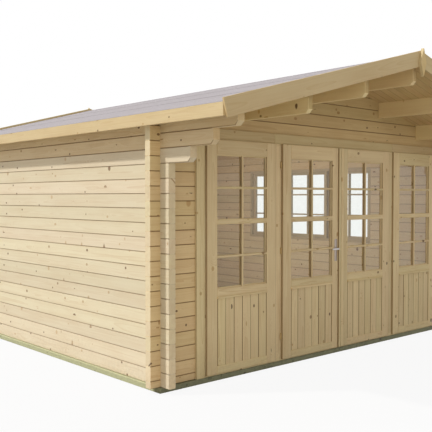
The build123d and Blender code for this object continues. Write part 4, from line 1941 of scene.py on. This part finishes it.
# ---------- hinges and handle
def rounded(middle: Pair, half: Pair, radius: float, steps: int = 4) -> Section:
    """Rectangle with rounded corners.

    Args:
        middle: Its middle.
        half: Its half sizes.
        radius: Radius of its corners.
        steps: Sides in each corner.

    Returns:
        Its points.
    """
    points: Section = []
    for corner, (sx, sz) in enumerate(((1, 1), (-1, 1), (-1, -1), (1, -1))):
        for step in range(steps + 1):
            angle = math.radians(90.0 * (corner + step / steps))
            points.append((middle[0] + sx * (half[0] - radius) + radius * math.cos(angle),
                           middle[1] + sz * (half[1] - radius) + radius * math.sin(angle)))
    return points


@dataclass
class Hardware:
    """Drilled-in hinges and the lever handle with its long plates."""

    hinge_radius: float = 0.007
    hinge_half: float = 0.030
    hinge_gap: float = 0.0003
    plate_width: float = 0.040
    plate_height: float = 0.220
    plate: float = 0.003
    plate_edge: float = 0.001
    plate_radius: float = 0.006
    rim_radius: float = 0.005
    rim_inset: float = 0.0012
    screw_inset: float = 0.013
    keyhole_drop: float = 0.085
    screw_slot: Pair = (0.002, 0.0005)  # half its length and half its width
    screw_slot_seat: float = 0.00135
    keyhole: Triple = (-0.0055, 0.0035, 0.0013)  # its foot, its head and half its width
    bore_depth: float = 0.0003
    bore_ease: float = 0.0001
    neck_radius: float = 0.008
    spindle_radius: float = 0.0045
    lever_gap: float = 0.0004
    bend: float = 0.012
    bend_steps: int = 5
    taper_steps: int = 6
    grip_half: Pair = (0.0055, 0.009)
    grip_end: float = 0.0005

    barrel_end = ((0.0, 0.7), (0.0012, 0.93), (0.003, 1.0))  # run and share of the radius
    barrel_mouth = ((0.0012, 1.0), (0.0002, 0.94))
    boss = [(0.0, 0.013), (0.0022, 0.0125), (0.003, 0.011)]
    screw = [(0.0, 0.0042), (0.0008, 0.0038), (0.0013, 0.0022)]
    cylinder = [(0.0, 0.0085), (0.0012, 0.0085), (0.0016, 0.0078)]
    grip_shares = (0.25, 0.5, 0.75, 0.93, 0.98, 1.0)
    grip_close = (0.85, 0.45)

    def hinges(self) -> None:
        """Build the hinge barrels of both leaves and their pins on the frame."""
        low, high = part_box("left_leaf_hinges")
        x, y = -(low.x + high.x) / 2, (low.y + high.y) / 2
        full, half = self.hinge_radius, self.hinge_half
        last = high.z - half
        barrel = [*((run, full * share) for run, share in self.barrel_end),
                  *((half - run, full * share) for run, share in self.barrel_mouth)]
        sleeve = [(half - run, radius) for run, radius in reversed(barrel)]
        pins = Piece("frame_hinge_barrels", 161)
        for side, body in ((-1, "left_leaf"), (1, "right_leaf")):
            sleeves = Piece(f"{body}_hinge_barrels", 162)
            for joint in (low.z, (low.z + last) / 2, last):
                pins.turned(UPRIGHT, (side * x, y, joint - half - self.hinge_gap), barrel)
                sleeves.turned(UPRIGHT, (side * x, y, joint), sleeve)
            sleeves.finish(ZINC, [f"{body}_hinges"], body, True)
        pins.finish(ZINC, ["frame_hinge_pins"], smooth=True)

    def plates(self) -> None:
        """Build both long plates with their screws, the lock cylinder, and painted shade sheets in
        the slots and keyhole.
        """
        low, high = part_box("handle_plates")
        lever_low, lever_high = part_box("lever_handle")
        x, z = (low.x + high.x) / 2, (low.z + high.z) / 2
        spindle = (lever_low.z + lever_high.z) / 2
        lock = spindle - self.keyhole_drop
        half = (self.plate_width / 2, self.plate_height / 2)
        screws = (z - half[1] + self.screw_inset, z + half[1] - self.screw_inset)
        full = rounded((x, z), half, self.plate_radius)
        rim = rounded((x, z), (half[0] - self.rim_inset, half[1] - self.rim_inset),
                      self.rim_radius)
        piece = Piece("handle_plate_pair", 171)
        # painted shade: thin dark sheets over the plates stand for the hollows of the screw slots
        # and the keyhole
        bore_shades = Piece("lock_bore_shades", 172)
        for outside, way in ((low.y, -1), (high.y, 1)):
            piece.loft(FLAT_Y, [ring(outside - way * self.plate, full),
                                ring(outside - way * self.plate_edge, full),
                                ring(outside, rim)])
            for height, profile in ((spindle, self.boss), (screws[0], self.screw),
                                    (screws[1], self.screw), (lock, self.cylinder)):
                piece.turned(ALONG_Y, (x, outside, height),
                             [(way * run, radius) for run, radius in profile])
            length, width = self.screw_slot
            for height in screws:
                bore_shades.plank(ALONG_X, (x - length, x + length), (height - width, height + width),
                            self.bore(outside, self.screw_slot_seat, way), self.bore_ease)
            foot, head, width = self.keyhole
            bore_shades.plank(UPRIGHT, (lock + foot, lock + head), (x - width, x + width),
                        self.bore(outside, self.cylinder[-1][0], way), self.bore_ease)
        piece.finish(PLATE_STEEL, ["handle_plates"], "left_leaf", True)
        bore_shades.finish(BORE_SHADE, body="left_leaf")

    def bore(self, outside: float, rise: float, way: int) -> list[float]:
        """The two faces of a thin sheet of painted shade, for a slot's hollow, that lies some rise
        over a plate.
        """
        return sorted((outside + way * rise, outside + way * rise + way * self.bore_depth))

    def path(self, neck: Pair, grip: Pair, way: float) -> list[Triple]:
        """Middle line of a lever, from its neck round the bend to the grip's end.

        Args:
            neck: Place of the neck's foot, as (x, y).
            grip: Place of the grip's end, as (x, y).
            way: -1 outside and 1 inside.

        Returns:
            Points as (x, y, turn in degrees).
        """
        (x, seat), (end, middle) = neck, grip
        points = [(x, seat, -90.0), (x, middle - way * self.bend, -90.0)]
        for step in range(1, self.bend_steps + 1):
            turn = 90.0 * step / self.bend_steps
            angle = math.radians(turn)
            points.append((x - self.bend * (1 - math.cos(angle)),
                           middle - way * self.bend * (1 - math.sin(angle)), turn - 90.0))
        start = points[-1][0]
        return points + [(start + (end - start) * share, middle, 0.0)
                         for share in self.grip_shares]

    def lever(self) -> None:
        """Build the levers inside and outside, swept from neck to grip."""
        low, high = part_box("lever_handle")
        plates_low, plates_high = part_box("handle_plates")
        x, z = (plates_low.x + plates_high.x) / 2, (low.z + high.z) / 2
        piece = Piece("lever_handles", 181)
        neck, (deep, tall) = self.neck_radius, self.grip_half
        for seat, tip, way in ((plates_low.y, low.y, -1.0), (plates_high.y, high.y, 1.0)):
            path = self.path((x, seat + way * self.lever_gap),
                             (low.x + self.grip_end, tip - way * deep), way)
            closes = [1.0] * (len(path) - 2) + [*self.grip_close]
            rings: list[Ring] = []
            for index, ((px, py, turn), close) in enumerate(zip(path, closes)):
                blend = min(1.0, max(0.0, (index - 1) / self.taper_steps))
                angle = math.radians(turn)
                side = Vector((math.sin(angle), way * math.cos(angle), 0.0))
                section = ellipse((neck + (deep - neck) * blend) * close,
                                  (neck + (tall - neck) * blend) * close)
                rings.append([Vector((px, py, z)) + side * a + Z_AXIS * b for a, b in section])
            piece.loft(Bench(X_AXIS, Y_AXIS, Z_AXIS), rings)
        piece.turned(ALONG_Y, (x, plates_low.y, z), [
            (0.0, self.spindle_radius), (plates_high.y - plates_low.y, self.spindle_radius)])
        piece.finish(STEEL, ["lever_handle"], "lever", True)

    def build(self) -> None:
        """Build the hinges and the handle."""
        self.hinges()
        self.plates()
        self.lever()


# ---------- studio
@dataclass(frozen=True)
class Lamp:
    """Distant lamp: its strength, its angular size, its turn from the X axis and its height
    over the horizon, all angles in degrees."""

    name: str
    energy: float
    spread: float
    turn: float
    rise: float

    def build(self) -> None:
        """Add the lamp."""
        lamp = bpy.data.lights.new(self.name, "SUN")
        lamp.energy = self.energy
        lamp.angle = math.radians(self.spread)
        around, up = math.radians(self.turn), math.radians(self.rise)
        towards = Vector((math.cos(around) * math.cos(up), math.sin(around) * math.cos(up),
                          math.sin(up)))
        placed(self.name, lamp).rotation_euler = towards.to_track_quat("Z", "Y").to_euler()


@dataclass
class Studio:
    """Pale floor, soft light and the camera."""

    floor_radius: float = 60.0
    floor_sides: int = 96
    floor_tint: Triple = linear(184, 181, 175)
    floor_roughness: float = 0.9
    floor_fade: Pair = (4.0, 11.0)
    floor_white: Pair = (0.92, 1.0)
    sky: Triple = (0.55, 0.522, 0.478)
    lamps: tuple[Lamp, ...] = (Lamp("key_lamp", 3.0, 2.2, 144.0, 50.0),
                               Lamp("fill_lamp", 0.36, 70.0, 240.0, 12.0))
    room_lamp: float = 54.0
    room_lamp_size: float = 0.6
    room_lamp_height: float = 1.5
    room_lamp_colour: Triple = (1.0, 0.97, 0.92)
    camera_place: Triple = (-5.645, -6.337, 1.579)
    camera_aim: Triple = (0.66738, 0.74472, -0.0275)
    lens: float = 58.175
    far_clip: float = 200.0

    def floor(self) -> None:
        """Lay the floor, which fades to white away from the cabin."""
        mesh = bpy.data.meshes.new("studio_floor")
        rim = ellipse(self.floor_radius, self.floor_radius, self.floor_sides)
        mesh.from_pydata([(x, y, 0.0) for x, y in rim], [], [tuple(range(self.floor_sides))])
        made = bpy.data.materials.new("StudioFloor")
        made.use_nodes = True
        graph = Graph(made.node_tree)
        shader = made.node_tree.nodes["Principled BSDF"]
        graph.feed(shader.inputs["Base Color"], self.floor_tint)
        graph.feed(shader.inputs["Roughness"], self.floor_roughness)
        far = graph.wire("ShaderNodeVectorMath", {0: graph.scaled(graph.place(), 1.0, 1.0, 0.0)},
                         "Value", operation="LENGTH")
        share = graph.ramp(far, *self.floor_fade, *self.floor_white)
        white = graph.node("ShaderNodeEmission").outputs[0]
        graph.surface(share * graph.seen(), shader.outputs[0], white)
        mesh.materials.append(made)
        placed("studio_floor", mesh)

    def light(self) -> None:
        """Set the world's even light, which looks white, and the distant lamps."""
        world = bpy.data.worlds.new("Studio")
        bpy.context.scene.world = world
        world.use_nodes = True
        graph = Graph(world.node_tree)
        even = world.node_tree.nodes["Background"]
        graph.feed(even.inputs["Color"], self.sky)
        white = graph.node("ShaderNodeBackground", {"Color": (1.0, 1.0, 1.0)}).outputs[0]
        graph.surface(graph.seen(), even.outputs[0], white)
        for lamp in self.lamps:
            lamp.build()

    def room_light(self) -> None:
        """Put a large soft lamp in the middle of the room, so that it reads through the panes."""
        low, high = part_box("floor")
        lamp = bpy.data.lights.new("room_lamp", "POINT")
        lamp.shadow_soft_size = self.room_lamp_size
        lamp.energy = self.room_lamp
        lamp.color = self.room_lamp_colour
        holder = placed("room_lamp", lamp)
        holder.location = ((low.x + high.x) / 2, (low.y + high.y) / 2, self.room_lamp_height)
        holder.visible_camera = False
        holder.visible_glossy = False
        holder.visible_transmission = False

    def camera(self) -> None:
        """Set the camera at the cabin's left front corner, at standing height."""
        data = bpy.data.cameras.new("camera")
        data.lens = self.lens
        data.clip_end = self.far_clip
        holder = placed("camera", data)
        holder.location = self.camera_place
        holder.rotation_euler = Vector(self.camera_aim).to_track_quat("-Z", "Y").to_euler()
        bpy.context.scene.camera = holder

    def build(self) -> None:
        """Set up the studio."""
        self.floor()
        self.light()
        self.room_light()
        self.camera()
        bpy.context.scene.view_settings.view_transform = "Standard"


def main() -> None:
    """Build the cabin's pieces in order, then the studio round them."""
    logging.basicConfig(level=logging.INFO, format="%(name)s: %(message)s")
    planes = Planes.read()
    for part in (LogWalls(planes), Base(), Roof(planes), DoorFront(planes), SideWindows(),
                 Panes(), Hardware(), Studio()):
        part.build()
        log.info("built %s", type(part).__name__)


if __name__ == "__main__":
    main()
